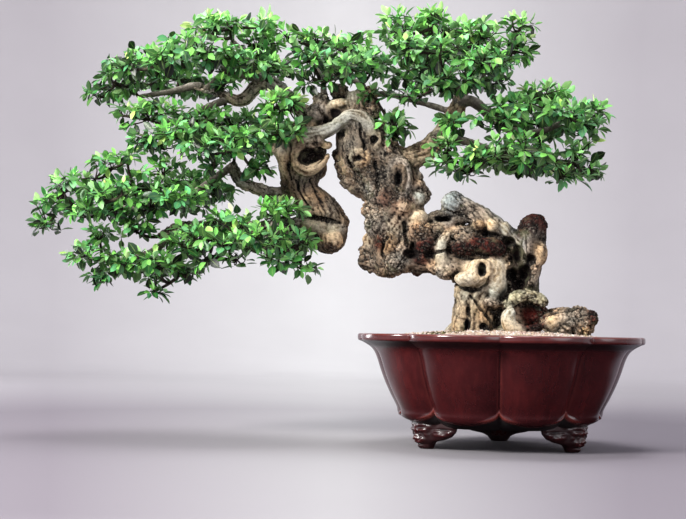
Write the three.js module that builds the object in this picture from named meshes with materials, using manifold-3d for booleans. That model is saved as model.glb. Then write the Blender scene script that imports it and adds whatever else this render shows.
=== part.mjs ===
// A ficus bonsai in a round, petal-sided ceramic pot on three feet.
// Millimetres, +Z up, seen from -Y. Every size below is measured from the pot's axis and from the
// surface that the feet stand on; the last lines move the origin to the bottom centre of the whole.

import * as THREE from 'three';
import { mergeVertices } from 'three/addons/utils/BufferGeometryUtils.js';
import Module from 'manifold-3d';

const wasm = await Module();
wasm.setup();

// Clearances between neighbours
const SEAT_GAP = 0.3;
const LEAF_GAP = 0.5;

// Pot: one fired piece
const PETALS = 9;
const STEPS_PER_PETAL = 4;
const RIM_RADIUS = 225;
const RIM_TOP = 172;
const FOOT_HEIGHT = 34;
const FLOOR_TOP = 50;
const DRAIN_RADIUS = 22;
const PETAL_CREASE = 0.088;
const PETAL_START_RADIUS = 80;
const PETAL_FULL_RADIUS = 130;

// Feet: a tripod with one foot at the back
const FOOT_CIRCLE = 126;
const FOOT_COUNT = 3;
const SOLE_WIDTH = 40;
const SOLE_DEPTH = 26;
const ANKLE_WIDTH = 62;
const ANKLE_DEPTH = 44;
const FOOT_TOP = 46;

// Fill of the pot
const SOIL_EDGE_TOP = 157;
const SOIL_CENTRE_TOP = 171;
const GRAVEL_DEPTH = 7;
const GRAVEL_RADIUS = 189;
const MESH_SIZE = 70;
const MESH_THICKNESS = 1.6;
const MESH_HOLES_PER_SIDE = 4;
const MESH_BAR = 3;

// Thick limbs are rounder and smoother than thin ones
const THICK_LIMB = 17;
const THICK_SIDES = 8;
const THIN_SIDES = 6;

// Limbs: each point is [x, y, z, radius]
const LIMBS = {
  neck: [
    [-34, 0, 135, 32], [-38, 0, 175, 36], [-46, -2, 215, 29], [-47, -4, 243, 26], [-35, 0, 271, 34],
  ],
  core: [
    [13, 25, 135, 36], [12, 25, 185, 40], [18, 25, 232, 38], [16, 20, 276, 29], [26, 12, 308, 27],
  ],
  level: [
    [-210, 0, 288, 16], [-182, 0, 287, 22], [-142, 2, 287, 25], [-95, 4, 287, 27], [-48, 6, 279, 32],
  ],
  column: [
    [-177, 0, 292, 31], [-175, 5, 329, 40], [-166, 10, 372, 45], [-175, 10, 408, 50], [-206, 8, 438, 48],
    [-223, 0, 475, 42], [-230, 0, 522, 27],
  ],
  shoulder: [
    [-150, 4, 380, 26], [-158, 4, 418, 28], [-176, 0, 448, 28],
  ],
  right_post: [
    [60, 5, 215, 26], [52, 0, 257, 17], [45, 0, 288, 24], [45, 0, 310, 27], [48, 0, 338, 22],
  ],
  log: [
    [-77, -5, 378, 17], [-57, -6, 370, 16], [-27, -5, 354, 16], [12, 0, 328, 16], [36, 0, 312, 18],
  ],
  shelf: [
    [-112, 0, 352, 10], [-90, 0, 357, 12], [-66, 0, 358, 13],
  ],
  ridge: [
    [-90, -25, 320, 9], [-89, -25, 291, 11],
  ],
  crescent_root: [
    [10, -22, 150, 14], [10, -38, 180, 12], [14, -42, 200, 12], [27, -36, 211, 12], [44, -20, 209, 11],
  ],
  back_root: [
    [20, 40, 215, 26], [10, 78, 178, 20], [4, 104, 150, 14],
  ],
  left_root: [
    [-48, 18, 190, 24], [-82, 34, 160, 17], [-112, 48, 138, 12],
  ],
  arch: [
    [-196, -12, 470, 14], [-200, -20, 489, 11], [-213, -28, 514, 10], [-229, -30, 524, 10],
    [-245, -32, 517, 10], [-259, -34, 503, 10], [-277, -32, 491, 11], [-300, -24, 478, 14],
  ],
  hanging_trunk: [
    [-311, 0, 502, 18], [-316, 0, 480, 31], [-318, 0, 452, 41], [-325, 0, 423, 35], [-319, 0, 397, 32],
    [-298, 0, 375, 31], [-278, 0, 352, 31], [-272, 0, 326, 29], [-268, 0, 305, 17],
  ],
  hanging_stub: [
    [-330, -6, 452, 15], [-352, -12, 464, 12], [-369, -15, 474, 9],
  ],
  low_bough: [
    [-330, 0, 392, 15], [-358, 0, 391, 12], [-376, 0, 397, 10], [-400, -2, 405, 9], [-419, -3, 415, 9],
    [-428, -5, 437, 8],
  ],
  long_branch: [
    [-428, -5, 437, 7], [-456, -10, 417, 6], [-495, -15, 388, 6], [-540, -18, 369, 5],
    [-600, -20, 367, 5], [-658, -20, 360, 4],
  ],
  high_bough: [
    [-296, -4, 512, 14], [-325, -5, 534, 12], [-343, -5, 548, 12], [-362, -4, 565, 12], [-382, -2, 569, 11],
    [-404, 0, 557, 10], [-423, 0, 541, 9], [-444, 2, 548, 8], [-467, 4, 563, 7], [-495, 5, 569, 6],
    [-540, 10, 560, 5], [-590, 12, 553, 4],
  ],
  high_fork: [
    [-378, -2, 572, 8], [-403, -8, 576, 7], [-424, -15, 577, 6], [-450, -20, 584, 5], [-480, -28, 607, 4],
  ],
  crown_branch: [
    [-384, 0, 570, 7], [-398, 20, 598, 6], [-420, 30, 626, 5], [-440, 28, 648, 4],
  ],
  middle_branch: [
    [-440, 2, 546, 6], [-478, -12, 528, 5], [-508, -26, 509, 5], [-534, -38, 500, 4],
  ],
  right_bough: [
    [-178, 0, 440, 25], [-148, 0, 448, 20], [-118, 0, 464, 17], [-92, 0, 492, 15], [-73, 0, 526, 13],
    [-66, 0, 552, 10], [-80, 4, 579, 7], [-98, 8, 604, 5],
  ],
  right_fork: [
    [-74, 0, 536, 11], [-50, -4, 541, 9], [-29, -8, 527, 9], [-8, -12, 507, 8], [15, -14, 493, 7],
    [43, -14, 488, 6], [70, -16, 494, 5], [98, -16, 508, 4], [112, -12, 521, 4],
  ],
  top_right_branch: [
    [-66, 0, 548, 8], [-44, -5, 574, 6], [-18, -10, 594, 5], [8, -12, 611, 4],
  ],
  lower_right_branch: [
    [-104, 4, 482, 12], [-66, 10, 481, 7], [-31, 15, 471, 6], [13, 20, 461, 5], [68, 20, 451, 5],
    [108, 15, 447, 4],
  ],
  link_branch: [
    [-212, 4, 552, 7], [-186, 8, 555, 5], [-158, 10, 549, 5], [-122, 8, 539, 5], [-78, 2, 524, 6],
  ],
  top_branch: [
    [-233, 0, 550, 8], [-222, 0, 566, 6], [-249, 0, 580, 5], [-283, 0, 586, 5], [-298, 4, 606, 4],
    [-300, 8, 630, 4],
  ],
  top_strut: [
    [-283, 0, 584, 5], [-284, -4, 568, 5], [-283, -8, 550, 6],
  ],
  top_shoot: [
    [-246, 0, 579, 5], [-250, 12, 605, 4], [-247, 26, 628, 4],
  ],
  low_middle_bough: [
    [-288, 0, 350, 18], [-318, -4, 343, 14], [-352, -8, 337, 13], [-395, -14, 335, 12], [-444, -20, 337, 10],
    [-476, -24, 335, 10], [-504, -26, 330, 9], [-529, -28, 319, 8],
  ],
  low_middle_shoot: [
    [-340, -8, 337, 9], [-352, -48, 326, 6], [-358, -84, 314, 4],
  ],
  low_twig: [
    [-424, -16, 334, 7], [-438, -25, 301, 5], [-465, -30, 277, 5], [-485, -30, 266, 5], [-504, -34, 272, 4],
  ],
  low_left_branch: [
    [-524, -28, 317, 6], [-554, -30, 296, 5], [-595, -28, 284, 4], [-632, -28, 284, 4],
  ],
  sprig_twig: [
    [-186, -10, 466, 8], [-176, -16, 484, 5], [-171, -20, 500, 4],
  ],
};

// Burls and knobs: each is [x, y, z, half width, half depth, half height]
const BURLS = {
  swirl: [-30, -10, 271, 42, 36, 31],
  snout: [-49, -36, 258, 23, 18, 13],
  mossy_lump: [40, -18, 231, 29, 26, 15],
  small_pale_lump: [79, -30, 194, 13, 14, 11],
  right_burl: [95, -8, 192, 34, 32, 24],
  right_burl_end: [124, -6, 190, 25, 25, 22],
  red_lump: [137, -14, 204, 12, 14, 12],
  knob: [50, 0, 346, 23, 21, 17],
  post_lump: [64, -8, 311, 10, 13, 14],
  log_end: [-75, -4, 380, 18, 19, 18],
  log_lump: [-28, -6, 342, 21, 19, 13],
  pitted_burl: [-43, -14, 311, 43, 31, 20],
  crusty_top: [-126, -6, 345, 25, 27, 23],
  crusty_bottom: [-122, -8, 312, 24, 27, 26],
  tip: [-224, 0, 305, 10, 10, 8],
  knob_left: [-286, -10, 545, 12, 12, 11],
  knob_pale: [-262, -14, 536, 17, 10, 9],
  knob_right: [-222, 0, 545, 21, 18, 15],
  knob_top: [-248, -6, 552, 14, 13, 13],
  knob_cluster: [-298, -4, 520, 17, 16, 14],
};

// Holes in the wood: each is [x, y, z, half width, half depth, half height]
const HOLES = {
  hanging_cavity: [-296, -36, 448, 15, 26, 11],
  swirl_eye: [-28, -46, 273, 6, 14, 8],
  root_slot: [-50, -38, 185, 4, 14, 9],
  root_hole: [-24, -36, 184, 6, 14, 7],
};

// Leaf pads: each tuft is [x, y, z, half width, half height]
const TUFT_DEPTH_TO_WIDTH = 1.15;
const SHOOT_RADIUS = 14;
const Z_AXIS = new THREE.Vector3(0, 0, 1);
const PADS = {
  foliage_crown_left: [
    [-460, 0, 668, 54, 19], [-400, 45, 652, 44, 22], [-490, -50, 622, 54, 22], [-570, 20, 618, 52, 22],
    [-435, -30, 608, 60, 22], [-604, -10, 580, 50, 22], [-545, 60, 592, 60, 22], [-640, 0, 558, 36, 15],
    [-376, -60, 590, 42, 22], [-430, 110, 622, 58, 22], [-520, 125, 592, 54, 20], [-500, -118, 588, 50, 20],
    [-575, -80, 585, 46, 18], [-378, 66, 612, 44, 20], [-440, -40, 565, 22, 12], [-385, -10, 669, 25, 13],
  ],
  foliage_mid_left: [
    [-540, -40, 520, 54, 19], [-475, 0, 515, 56, 19], [-415, 60, 518, 56, 22], [-345, -60, 528, 38, 26],
    [-345, -45, 487, 40, 20], [-500, -85, 478, 50, 20], [-405, -65, 474, 60, 19], [-545, -45, 472, 40, 15],
    [-440, -110, 452, 56, 19], [-480, 100, 505, 54, 20], [-400, 120, 495, 52, 20], [-350, 40, 500, 42, 18],
    [-450, -60, 432, 22, 13], [-386, -50, 428, 29, 19], [-587, -20, 503, 17, 20], [-606, -20, 534, 16, 11],
  ],
  foliage_lower_left: [
    [-632, 0, 442, 32, 18], [-680, -20, 410, 48, 19], [-712, -30, 374, 44, 19], [-645, 40, 400, 56, 22],
    [-565, 0, 412, 56, 22], [-515, 60, 420, 56, 22], [-635, -60, 360, 48, 15], [-570, -60, 370, 52, 19],
    [-505, -70, 382, 48, 19], [-600, 90, 385, 54, 20], [-540, 120, 392, 50, 19], [-600, -100, 385, 46, 16],
    [-470, 10, 400, 46, 18], [-720, -30, 344, 34, 14], [-604, -20, 450, 27, 16], [-538, -20, 440, 31, 13],
    [-573, -60, 338, 37, 11],
  ],
  foliage_low_left: [
    [-640, -20, 326, 30, 19], [-648, -40, 290, 38, 22], [-605, 0, 278, 46, 19], [-535, -60, 278, 48, 20],
    [-500, -30, 270, 32, 13], [-540, -45, 250, 26, 13], [-632, -20, 256, 30, 15], [-575, -50, 284, 48, 18],
    [-560, 35, 276, 44, 16], [-607, -30, 314, 12, 14], [-541, -50, 235, 22, 12],
  ],
  foliage_low_middle: [
    [-345, -60, 364, 46, 19], [-410, -42, 346, 56, 19], [-455, -80, 322, 50, 19], [-365, -100, 318, 56, 22],
    [-322, -70, 316, 40, 22], [-335, -84, 286, 40, 19], [-486, -68, 308, 38, 14], [-305, -75, 272, 24, 12],
    [-400, 30, 322, 52, 18], [-340, 50, 318, 46, 16], [-425, -125, 310, 44, 16], [-402, -80, 288, 30, 9],
    [-452, -80, 278, 20, 14],
  ],
  foliage_top_middle: [
    [-295, 0, 645, 42, 19], [-250, 50, 640, 44, 22], [-290, -60, 600, 42, 19], [-232, -68, 584, 48, 19],
    [-204, -18, 600, 36, 22], [-260, -30, 622, 42, 18], [-272, 85, 622, 44, 19], [-225, 10, 616, 44, 18],
    [-306, -35, 567, 20, 14], [-271, -30, 571, 23, 11], [-346, -10, 652, 22, 13], [-224, -10, 642, 16, 12],
  ],
  foliage_top_right: [
    [-160, 0, 660, 40, 19], [-105, 55, 672, 48, 22], [-32, -20, 645, 52, 22], [14, 0, 622, 38, 26],
    [-136, -84, 608, 44, 19], [-95, -60, 612, 56, 22], [-32, -86, 588, 52, 22], [-128, 0, 582, 52, 22],
    [-78, -60, 562, 50, 19], [-22, 40, 584, 38, 18], [-140, -56, 546, 34, 13], [-40, 80, 628, 52, 20],
    [-120, 100, 628, 50, 20], [-95, 30, 635, 52, 20], [-203, -50, 542, 14, 18], [-165, -10, 676, 33, 14],
    [-112, -10, 679, 35, 13], [20, -10, 662, 32, 16],
  ],
  foliage_right_upper: [
    [66, 20, 558, 50, 19], [22, -30, 532, 44, 19], [80, -58, 518, 56, 20], [134, 0, 525, 34, 22],
    [12, -66, 504, 42, 15], [124, -42, 496, 34, 15], [75, 40, 512, 46, 16], [30, 62, 530, 46, 18],
    [100, 85, 525, 42, 16], [-72, -60, 500, 26, 13],
  ],
  foliage_right_lower: [
    [-85, -60, 468, 30, 17], [-80, -42, 436, 34, 16], [-35, -68, 446, 48, 19], [5, 50, 460, 46, 18],
    [32, -58, 442, 52, 20], [98, 0, 446, 48, 19], [98, -42, 424, 40, 15], [138, 0, 434, 26, 13],
    [-58, -30, 428, 32, 13], [60, 62, 448, 46, 16], [27, -50, 473, 53, 12], [108, -20, 466, 35, 11],
  ],
  foliage_sprig: [
    [-168, -20, 500, 28, 26],
  ],
};

// Finishes
const COLOURS = {
  glaze: { color: 0x5f2b2c, roughness: 0.25, metalness: 0 },
  bark: { color: 0x8d7556, roughness: 0.9, metalness: 0 },
  leaf: { color: 0x3f8a3a, roughness: 0.6, metalness: 0 },
  earth: { color: 0x4a3526, roughness: 1, metalness: 0 },
  stone: { color: 0xd8cfc0, roughness: 0.9, metalness: 0 },
  net: { color: 0x222222, roughness: 0.6, metalness: 0 },
};

// Turns a closed geometry into a solid that can be joined and cut.
function solid(geometry) {
  const bare = geometry.clone();
  bare.deleteAttribute('normal');
  bare.deleteAttribute('uv');
  const merged = mergeVertices(bare, 1e-3);
  const corners = merged.index.array;
  const triVerts = [];
  for (let i = 0; i < corners.length; i += 3) {
    const [a, b, c] = corners.slice(i, i + 3);
    if (a !== b && b !== c && c !== a) {
      triVerts.push(a, b, c);
    }
  }
  return new wasm.Manifold(new wasm.Mesh({
    numProp: 3,
    vertProperties: merged.attributes.position.array,
    triVerts: new Uint32Array(triVerts),
  }));
}

// Gives a solid's surface back as a geometry.
function surface(body) {
  const mesh = body.getMesh();
  const geometry = new THREE.BufferGeometry();
  geometry.setAttribute('position', new THREE.BufferAttribute(mesh.vertProperties, 3));
  geometry.setIndex(new THREE.BufferAttribute(mesh.triVerts, 1));
  geometry.computeVertexNormals();
  return geometry;
}

function join(bodies) {
  return bodies.reduce((whole, body) => whole.add(body));
}

// Moves every vertex of a geometry by a function of its position.
function warp(geometry, move) {
  const places = geometry.attributes.position;
  const point = new THREE.Vector3();
  for (let i = 0; i < places.count; i += 1) {
    point.fromBufferAttribute(places, i);
    move(point);
    places.setXYZ(i, point.x, point.y, point.z);
  }
  return geometry;
}

// A tapering round limb: a capsule bent along a smooth curve through its points.
function limb(points, grow = 0) {
  const curve = new THREE.CatmullRomCurve3(points.map(([x, y, z]) => new THREE.Vector3(x, y, z)));
  const last = points.length - 1;
  const depthAxis = new THREE.Vector3(0, 1, 0);
  const thick = points[0][3] > THICK_LIMB;
  const steps = thick ? Math.ceil(1.5 * last) : last;
  const capsule = new THREE.CapsuleGeometry(1, 2, 2, thick ? THICK_SIDES : THIN_SIDES, steps);
  warp(capsule, (point) => {
    const along = THREE.MathUtils.clamp(point.y, -1, 1);
    const part = (along + 1) / 2;
    const before = Math.min(Math.floor(part * last), last - 1);
    const radius = grow + THREE.MathUtils.lerp(points[before][3], points[before + 1][3], part * last - before);
    const tangent = curve.getTangent(part);
    const side = new THREE.Vector3().crossVectors(tangent, depthAxis).normalize();
    const rise = new THREE.Vector3().crossVectors(side, tangent);
    const centre = curve.getPoint(part);
    const reach = point.y - along;
    centre.addScaledVector(side, point.x * radius);
    centre.addScaledVector(rise, point.z * radius);
    centre.addScaledVector(tangent, reach * radius);
    point.copy(centre);
  });
  return solid(capsule);
}

// An egg-shaped lump with a slightly uneven skin.
function lump([x, y, z, halfWidth, halfDepth, halfHeight], grow = 0, unevenness = 0.06) {
  const ball = new THREE.SphereGeometry(1, 8, 5);
  ball.rotateX(Math.PI / 2);
  warp(ball, (point) => {
    const swell = 1 + unevenness * Math.sin(3 * point.x + x) * Math.sin(4 * point.z + z);
    point.set(
      x + point.x * (halfWidth * swell + grow),
      y + point.y * (halfDepth * swell + grow),
      z + point.z * (halfHeight * swell + grow),
    );
  });
  return solid(ball);
}

// The whole tree without its leaves, with its skin moved outwards by grow.
function wood(grow = 0) {
  const limbs = Object.values(LIMBS).map((points) => limb(points, grow));
  const burls = Object.values(BURLS).map((burl) => lump(burl, grow));
  return join([...limbs, ...burls]);
}

function trunk() {
  const holes = Object.values(HOLES).map((hole) => lump(hole, 0, 0));
  return wood().subtract(join(holes));
}

// A leafy shoot between two points: a slender spindle.
function shoot(from, to) {
  const reach = new THREE.Vector3().subVectors(to, from);
  const spindle = new THREE.OctahedronGeometry(1, 0);
  spindle.scale(SHOOT_RADIUS, SHOOT_RADIUS, reach.length() / 2 + SHOOT_RADIUS);
  spindle.applyQuaternion(new THREE.Quaternion().setFromUnitVectors(Z_AXIS, reach.normalize()));
  const centre = new THREE.Vector3().addVectors(from, to).divideScalar(2);
  spindle.translate(centre.x, centre.y, centre.z);
  return solid(spindle);
}

// A leaf cloud: flat tufts joined together, with room for the branches that carry them. A tuft that
// misses the cloud so far is tied by a shoot to the nearest tuft in it.
function pad(tufts, branches) {
  const middles = tufts.map(([x, y, z]) => new THREE.Vector3(x, y, z));
  let cloud = null;
  tufts.forEach(([x, y, z, halfWidth, halfHeight], i) => {
    const ball = new THREE.OctahedronGeometry(1, 1);
    ball.scale(halfWidth, halfWidth * TUFT_DEPTH_TO_WIDTH, halfHeight);
    ball.translate(x, y, z);
    const tuft = solid(ball);
    if (cloud === null) {
      cloud = tuft;
      return;
    }
    if (cloud.intersect(tuft).isEmpty()) {
      const nearest = middles.slice(0, i).reduce((best, middle) => (
        middle.distanceTo(middles[i]) < best.distanceTo(middles[i]) ? middle : best
      ));
      cloud = cloud.add(shoot(middles[i], nearest));
    }
    cloud = cloud.add(tuft);
  });
  return cloud.subtract(branches);
}

// How far a radius is drawn in at an angle round the pot: none at a petal's middle, most at its edges.
function petalScale(point) {
  const radius = Math.hypot(point.x, point.y);
  const petalAngle = (2 * Math.PI) / PETALS;
  const turns = (Math.atan2(point.y, point.x) + Math.PI / 2) / petalAngle;
  const fromMiddle = 2 * Math.abs(turns - Math.floor(turns) - 0.5);
  const share = THREE.MathUtils.smoothstep(radius, PETAL_START_RADIUS, PETAL_FULL_RADIUS);
  return 1 - PETAL_CREASE * share * fromMiddle ** 2;
}

// A ring or disc with the pot's petal outline, from [radius, height] points.
function petalled(outline) {
  const points = outline.map(([radius, height]) => new THREE.Vector2(radius, height));
  const round = new THREE.LatheGeometry(points, PETALS * STEPS_PER_PETAL);
  round.rotateX(Math.PI / 2);
  warp(round, (point) => {
    const scale = petalScale(point);
    point.x *= scale;
    point.y *= scale;
  });
  return solid(round);
}

const OUTER_WALL = [
  [140, FOOT_HEIGHT], [154, 43], [160, 49], [162, 60], [172, 78], [181, 97], [188, 116], [194, 135],
  [202, 150], [210, 158], [RIM_RADIUS - 2, 161], [RIM_RADIUS, 166], [RIM_RADIUS - 2, RIM_TOP],
];
const INNER_WALL = [
  [206, RIM_TOP], [200, 166], [192, 154], [184, 135], [174, 106], [160, 76], [148, 58], [136, FLOOR_TOP],
];

// One foot, a squat block with the bulges of a plain lion mask, facing outwards along +X.
function foot() {
  const height = FOOT_TOP;
  const block = new THREE.CylinderGeometry(1, 1, height, 10, 1);
  block.rotateX(Math.PI / 2);
  warp(block, (point) => {
    const up = point.z / height + 0.5;
    point.set(
      point.x * THREE.MathUtils.lerp(SOLE_DEPTH, ANKLE_DEPTH, up) / 2 + FOOT_CIRCLE,
      point.y * THREE.MathUtils.lerp(SOLE_WIDTH, ANKLE_WIDTH, up) / 2,
      up * height,
    );
  });
  const brow = lump([FOOT_CIRCLE + 14, 0, 29, 8, 25, 6], 0, 0);
  const muzzle = lump([FOOT_CIRCLE + 11, 0, 14, 8, 13, 8], 0, 0);
  return join([solid(block), brow, muzzle]);
}

function pot() {
  const bowl = petalled([
    [DRAIN_RADIUS, FOOT_HEIGHT], ...OUTER_WALL, ...INNER_WALL, [DRAIN_RADIUS, FLOOR_TOP],
    [DRAIN_RADIUS, FOOT_HEIGHT],
  ]);
  const feet = [];
  for (let i = 0; i < FOOT_COUNT; i += 1) {
    const turn = 90 + (i * 360) / FOOT_COUNT;
    feet.push(foot().rotate([0, 0, turn]));
  }
  return join([bowl, ...feet]);
}

// Everything below the grit, with an outline a seat gap inside the inner wall.
function fill() {
  const wall = INNER_WALL.filter(([, height]) => height < SOIL_EDGE_TOP && height > FLOOR_TOP);
  const outline = wall.map(([radius, height]) => [radius - 2 * SEAT_GAP, height]).reverse();
  return petalled([
    [0, FLOOR_TOP + SEAT_GAP], [135, FLOOR_TOP + SEAT_GAP], ...outline, [GRAVEL_RADIUS, SOIL_EDGE_TOP],
    [120, SOIL_CENTRE_TOP - 3], [60, SOIL_CENTRE_TOP], [0, SOIL_CENTRE_TOP],
  ]);
}

// The soil has room for the net below and for the roots above.
function soil(roots) {
  const side = MESH_SIZE + 2 * SEAT_GAP;
  const height = MESH_THICKNESS + 4 * SEAT_GAP;
  const netRoom = new THREE.BoxGeometry(side, side, height);
  netRoom.translate(0, 0, FLOOR_TOP + height / 2);
  return fill().subtract(solid(netRoom)).subtract(roots);
}

// The pale grit lies on the soil and rises gently from the rim to the trunk.
function gravel(roots) {
  const bottom = SOIL_EDGE_TOP + SEAT_GAP;
  const layer = petalled([
    [0, bottom], [GRAVEL_RADIUS, bottom], [192, SOIL_EDGE_TOP + 3], [195, SOIL_EDGE_TOP + GRAVEL_DEPTH],
    [160, SOIL_EDGE_TOP + GRAVEL_DEPTH + 6], [110, SOIL_CENTRE_TOP + GRAVEL_DEPTH - 3],
    [60, SOIL_CENTRE_TOP + GRAVEL_DEPTH], [0, SOIL_CENTRE_TOP + GRAVEL_DEPTH],
  ]);
  return layer.subtract(fill().translate([0, 0, SEAT_GAP])).subtract(roots);
}

// The net over the drain hole: a square sheet with square openings.
function drainageMesh() {
  const height = FLOOR_TOP + SEAT_GAP + MESH_THICKNESS / 2;
  const pitch = (MESH_SIZE - MESH_BAR) / MESH_HOLES_PER_SIDE;
  const open = pitch - MESH_BAR;
  const sheet = new THREE.BoxGeometry(MESH_SIZE, MESH_SIZE, MESH_THICKNESS);
  sheet.translate(0, 0, height);
  const openings = [];
  for (let row = 0; row < MESH_HOLES_PER_SIDE; row += 1) {
    for (let column = 0; column < MESH_HOLES_PER_SIDE; column += 1) {
      const opening = new THREE.BoxGeometry(open, open, 2 * MESH_THICKNESS);
      const fromMiddle = (MESH_HOLES_PER_SIDE - 1) / 2;
      opening.translate((column - fromMiddle) * pitch, (row - fromMiddle) * pitch, height);
      openings.push(solid(opening));
    }
  }
  return solid(sheet).subtract(join(openings));
}

const bonsai = new THREE.Group();

function place(name, body, colour) {
  const mesh = new THREE.Mesh(surface(body), new THREE.MeshStandardMaterial(colour));
  mesh.name = name;
  bonsai.add(mesh);
}

const roots = wood(SEAT_GAP);
const branches = wood(LEAF_GAP);
place('pot', pot(), COLOURS.glaze);
place('drainage_mesh', drainageMesh(), COLOURS.net);
place('soil', soil(roots), COLOURS.earth);
place('gravel', gravel(roots), COLOURS.stone);
place('trunk', trunk(), COLOURS.bark);
for (const [name, tufts] of Object.entries(PADS)) {
  place(name, pad(tufts, branches), COLOURS.leaf);
}

// The origin goes to the bottom centre of the whole.
const box = new THREE.Box3().setFromObject(bonsai);
const middle = box.getCenter(new THREE.Vector3());
bonsai.position.set(-middle.x, -middle.y, -box.min.z);
bonsai.updateMatrixWorld(true);

export default bonsai;
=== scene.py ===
"""A burled ficus bonsai with layered leaf pads, in a petal-sided glazed pot on three mask feet.

Sizes are in millimetres from the pot's axis and from the plane that the feet stand on, with +Z up
and -Y towards the camera. Shape.to_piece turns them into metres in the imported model's frame.
"""

import itertools
import logging
import math
from collections.abc import Sequence
from dataclasses import dataclass, field
from enum import Enum, IntEnum

import bpy
import numpy as np
from mathutils import Matrix, Vector


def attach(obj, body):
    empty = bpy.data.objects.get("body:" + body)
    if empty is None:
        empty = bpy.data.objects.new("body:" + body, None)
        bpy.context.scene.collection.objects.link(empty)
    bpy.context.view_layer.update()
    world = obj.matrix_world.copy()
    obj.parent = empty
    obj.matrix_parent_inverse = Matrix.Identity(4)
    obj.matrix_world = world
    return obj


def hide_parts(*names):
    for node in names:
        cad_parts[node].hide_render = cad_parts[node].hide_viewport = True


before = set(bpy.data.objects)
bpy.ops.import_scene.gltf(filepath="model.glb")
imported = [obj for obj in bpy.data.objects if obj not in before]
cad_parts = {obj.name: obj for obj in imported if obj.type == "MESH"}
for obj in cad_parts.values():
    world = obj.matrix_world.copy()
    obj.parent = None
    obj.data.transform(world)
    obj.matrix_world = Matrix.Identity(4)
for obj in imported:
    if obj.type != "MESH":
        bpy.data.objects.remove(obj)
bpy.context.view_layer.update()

Array = np.ndarray
Colour = tuple[float, float, float]
Place = tuple[float, float, float]
Outline = tuple[tuple[float, float], ...]

MM = 0.001
POT_AXIS = np.array([0.267209, -0.004147, 0.0])
UP = np.array([0.0, 0.0, 1.0])
GOLDEN_ANGLE = math.radians(137.5)

log = logging.getLogger("bonsai")


def paint(red: int, green: int, blue: int) -> Colour:
    """Turn a colour as a screen shows it, 0 to 255 a channel, into the renderer's linear light."""
    return tuple(((channel / 255 + 0.055) / 1.055) ** 2.4 for channel in (red, green, blue))


def ease(value: Array, low: float, high: float) -> Array:
    """Rise smoothly from 0 at low to 1 at high: three t squared less two t cubed."""
    share = np.clip((value - low) / (high - low), 0.0, 1.0)
    return share * share * (3.0 - 2.0 * share)


def unit(vectors: Array) -> Array:
    """Scale vectors to length one, along the last axis."""
    return vectors / np.maximum(np.linalg.norm(vectors, axis=-1, keepdims=True), 1e-9)


def cell_random(cells: Array, seed: int) -> Array:
    """Give each whole-number cell a repeatable value from 0 to 1.

    The three indices are multiplied by large primes, joined by exclusive or, and mixed by shifts.

    Args:
        cells: Whole numbers, three to a cell, along the last axis.
        seed: Which of many such patterns.

    Returns:
        One value for each cell.
    """
    mixed = cells[..., 0] * 73856093 ^ cells[..., 1] * 19349663 ^ cells[..., 2] * 83492791
    mixed = (mixed ^ seed * 40503) & 0xFFFFFFFF
    mixed = ((mixed ^ mixed >> 15) * 1274126177) & 0xFFFFFFFF
    mixed = ((mixed ^ mixed >> 13) * 1103515245) & 0xFFFFFFFF
    return ((mixed ^ mixed >> 16) & 0xFFFFFF) / 0xFFFFFF


def waves(points: Array, size: float, seed: int) -> Array:
    """Smooth random heights from -1 to 1 ("value noise").

    The eight corners of the cube that holds a point have random values; they are blended along
    each axis with the ease curve of the point's place in the cube.

    Args:
        points: Places, (N, 3).
        size: Side of a cube, about the length of half a wave.
        seed: Which of many such patterns.

    Returns:
        One height for each place.
    """
    scaled = points / size
    cells = np.floor(scaled).astype(np.int64)
    share = ease(scaled - cells, 0.0, 1.0)
    total = np.zeros(len(points))
    for corner in itertools.product((0, 1), repeat=3):
        weight = np.prod(np.where(corner, share, 1.0 - share), axis=1)
        total += weight * cell_random(cells + np.array(corner), seed)
    return 2.0 * total - 1.0


def rough(points: Array, size: float, seed: int, octaves: int = 3) -> Array:
    """Add waves of half the size and half the height to each other, octaves times."""
    return sum(waves(points, size / 2**i, seed + i) / 2**i for i in range(octaves))


def pebbled(points: Array, size: float, seed: int) -> tuple[Array, Array, Array]:
    """Distances to the nearest and the second nearest of scattered seeds ("cellular noise").

    Each cube of the given side holds one seed at a random place, and the 27 cubes round a point
    are searched.

    Args:
        points: Places, (N, 3).
        size: Side of a cube, about the width of a pebble.
        seed: Which of many such patterns.

    Returns:
        Both distances, in cube sides, and the nearest seed's own random value from 0 to 1.
    """
    scaled = points / size
    cells = np.floor(scaled).astype(np.int64)
    nearest = np.full(len(points), 9.0)
    second = np.full(len(points), 9.0)
    tone = np.zeros(len(points))
    for step in itertools.product((-1, 0, 1), repeat=3):
        cell = cells + np.array(step)
        place = cell + np.stack([cell_random(cell, seed + k) for k in range(3)], axis=1)
        reach = np.linalg.norm(place - scaled, axis=1)
        tone = np.where(reach < nearest, cell_random(cell, seed + 7), tone)
        second = np.minimum(second, np.maximum(nearest, reach))
        nearest = np.minimum(nearest, reach)
    return nearest, second, tone


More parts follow.
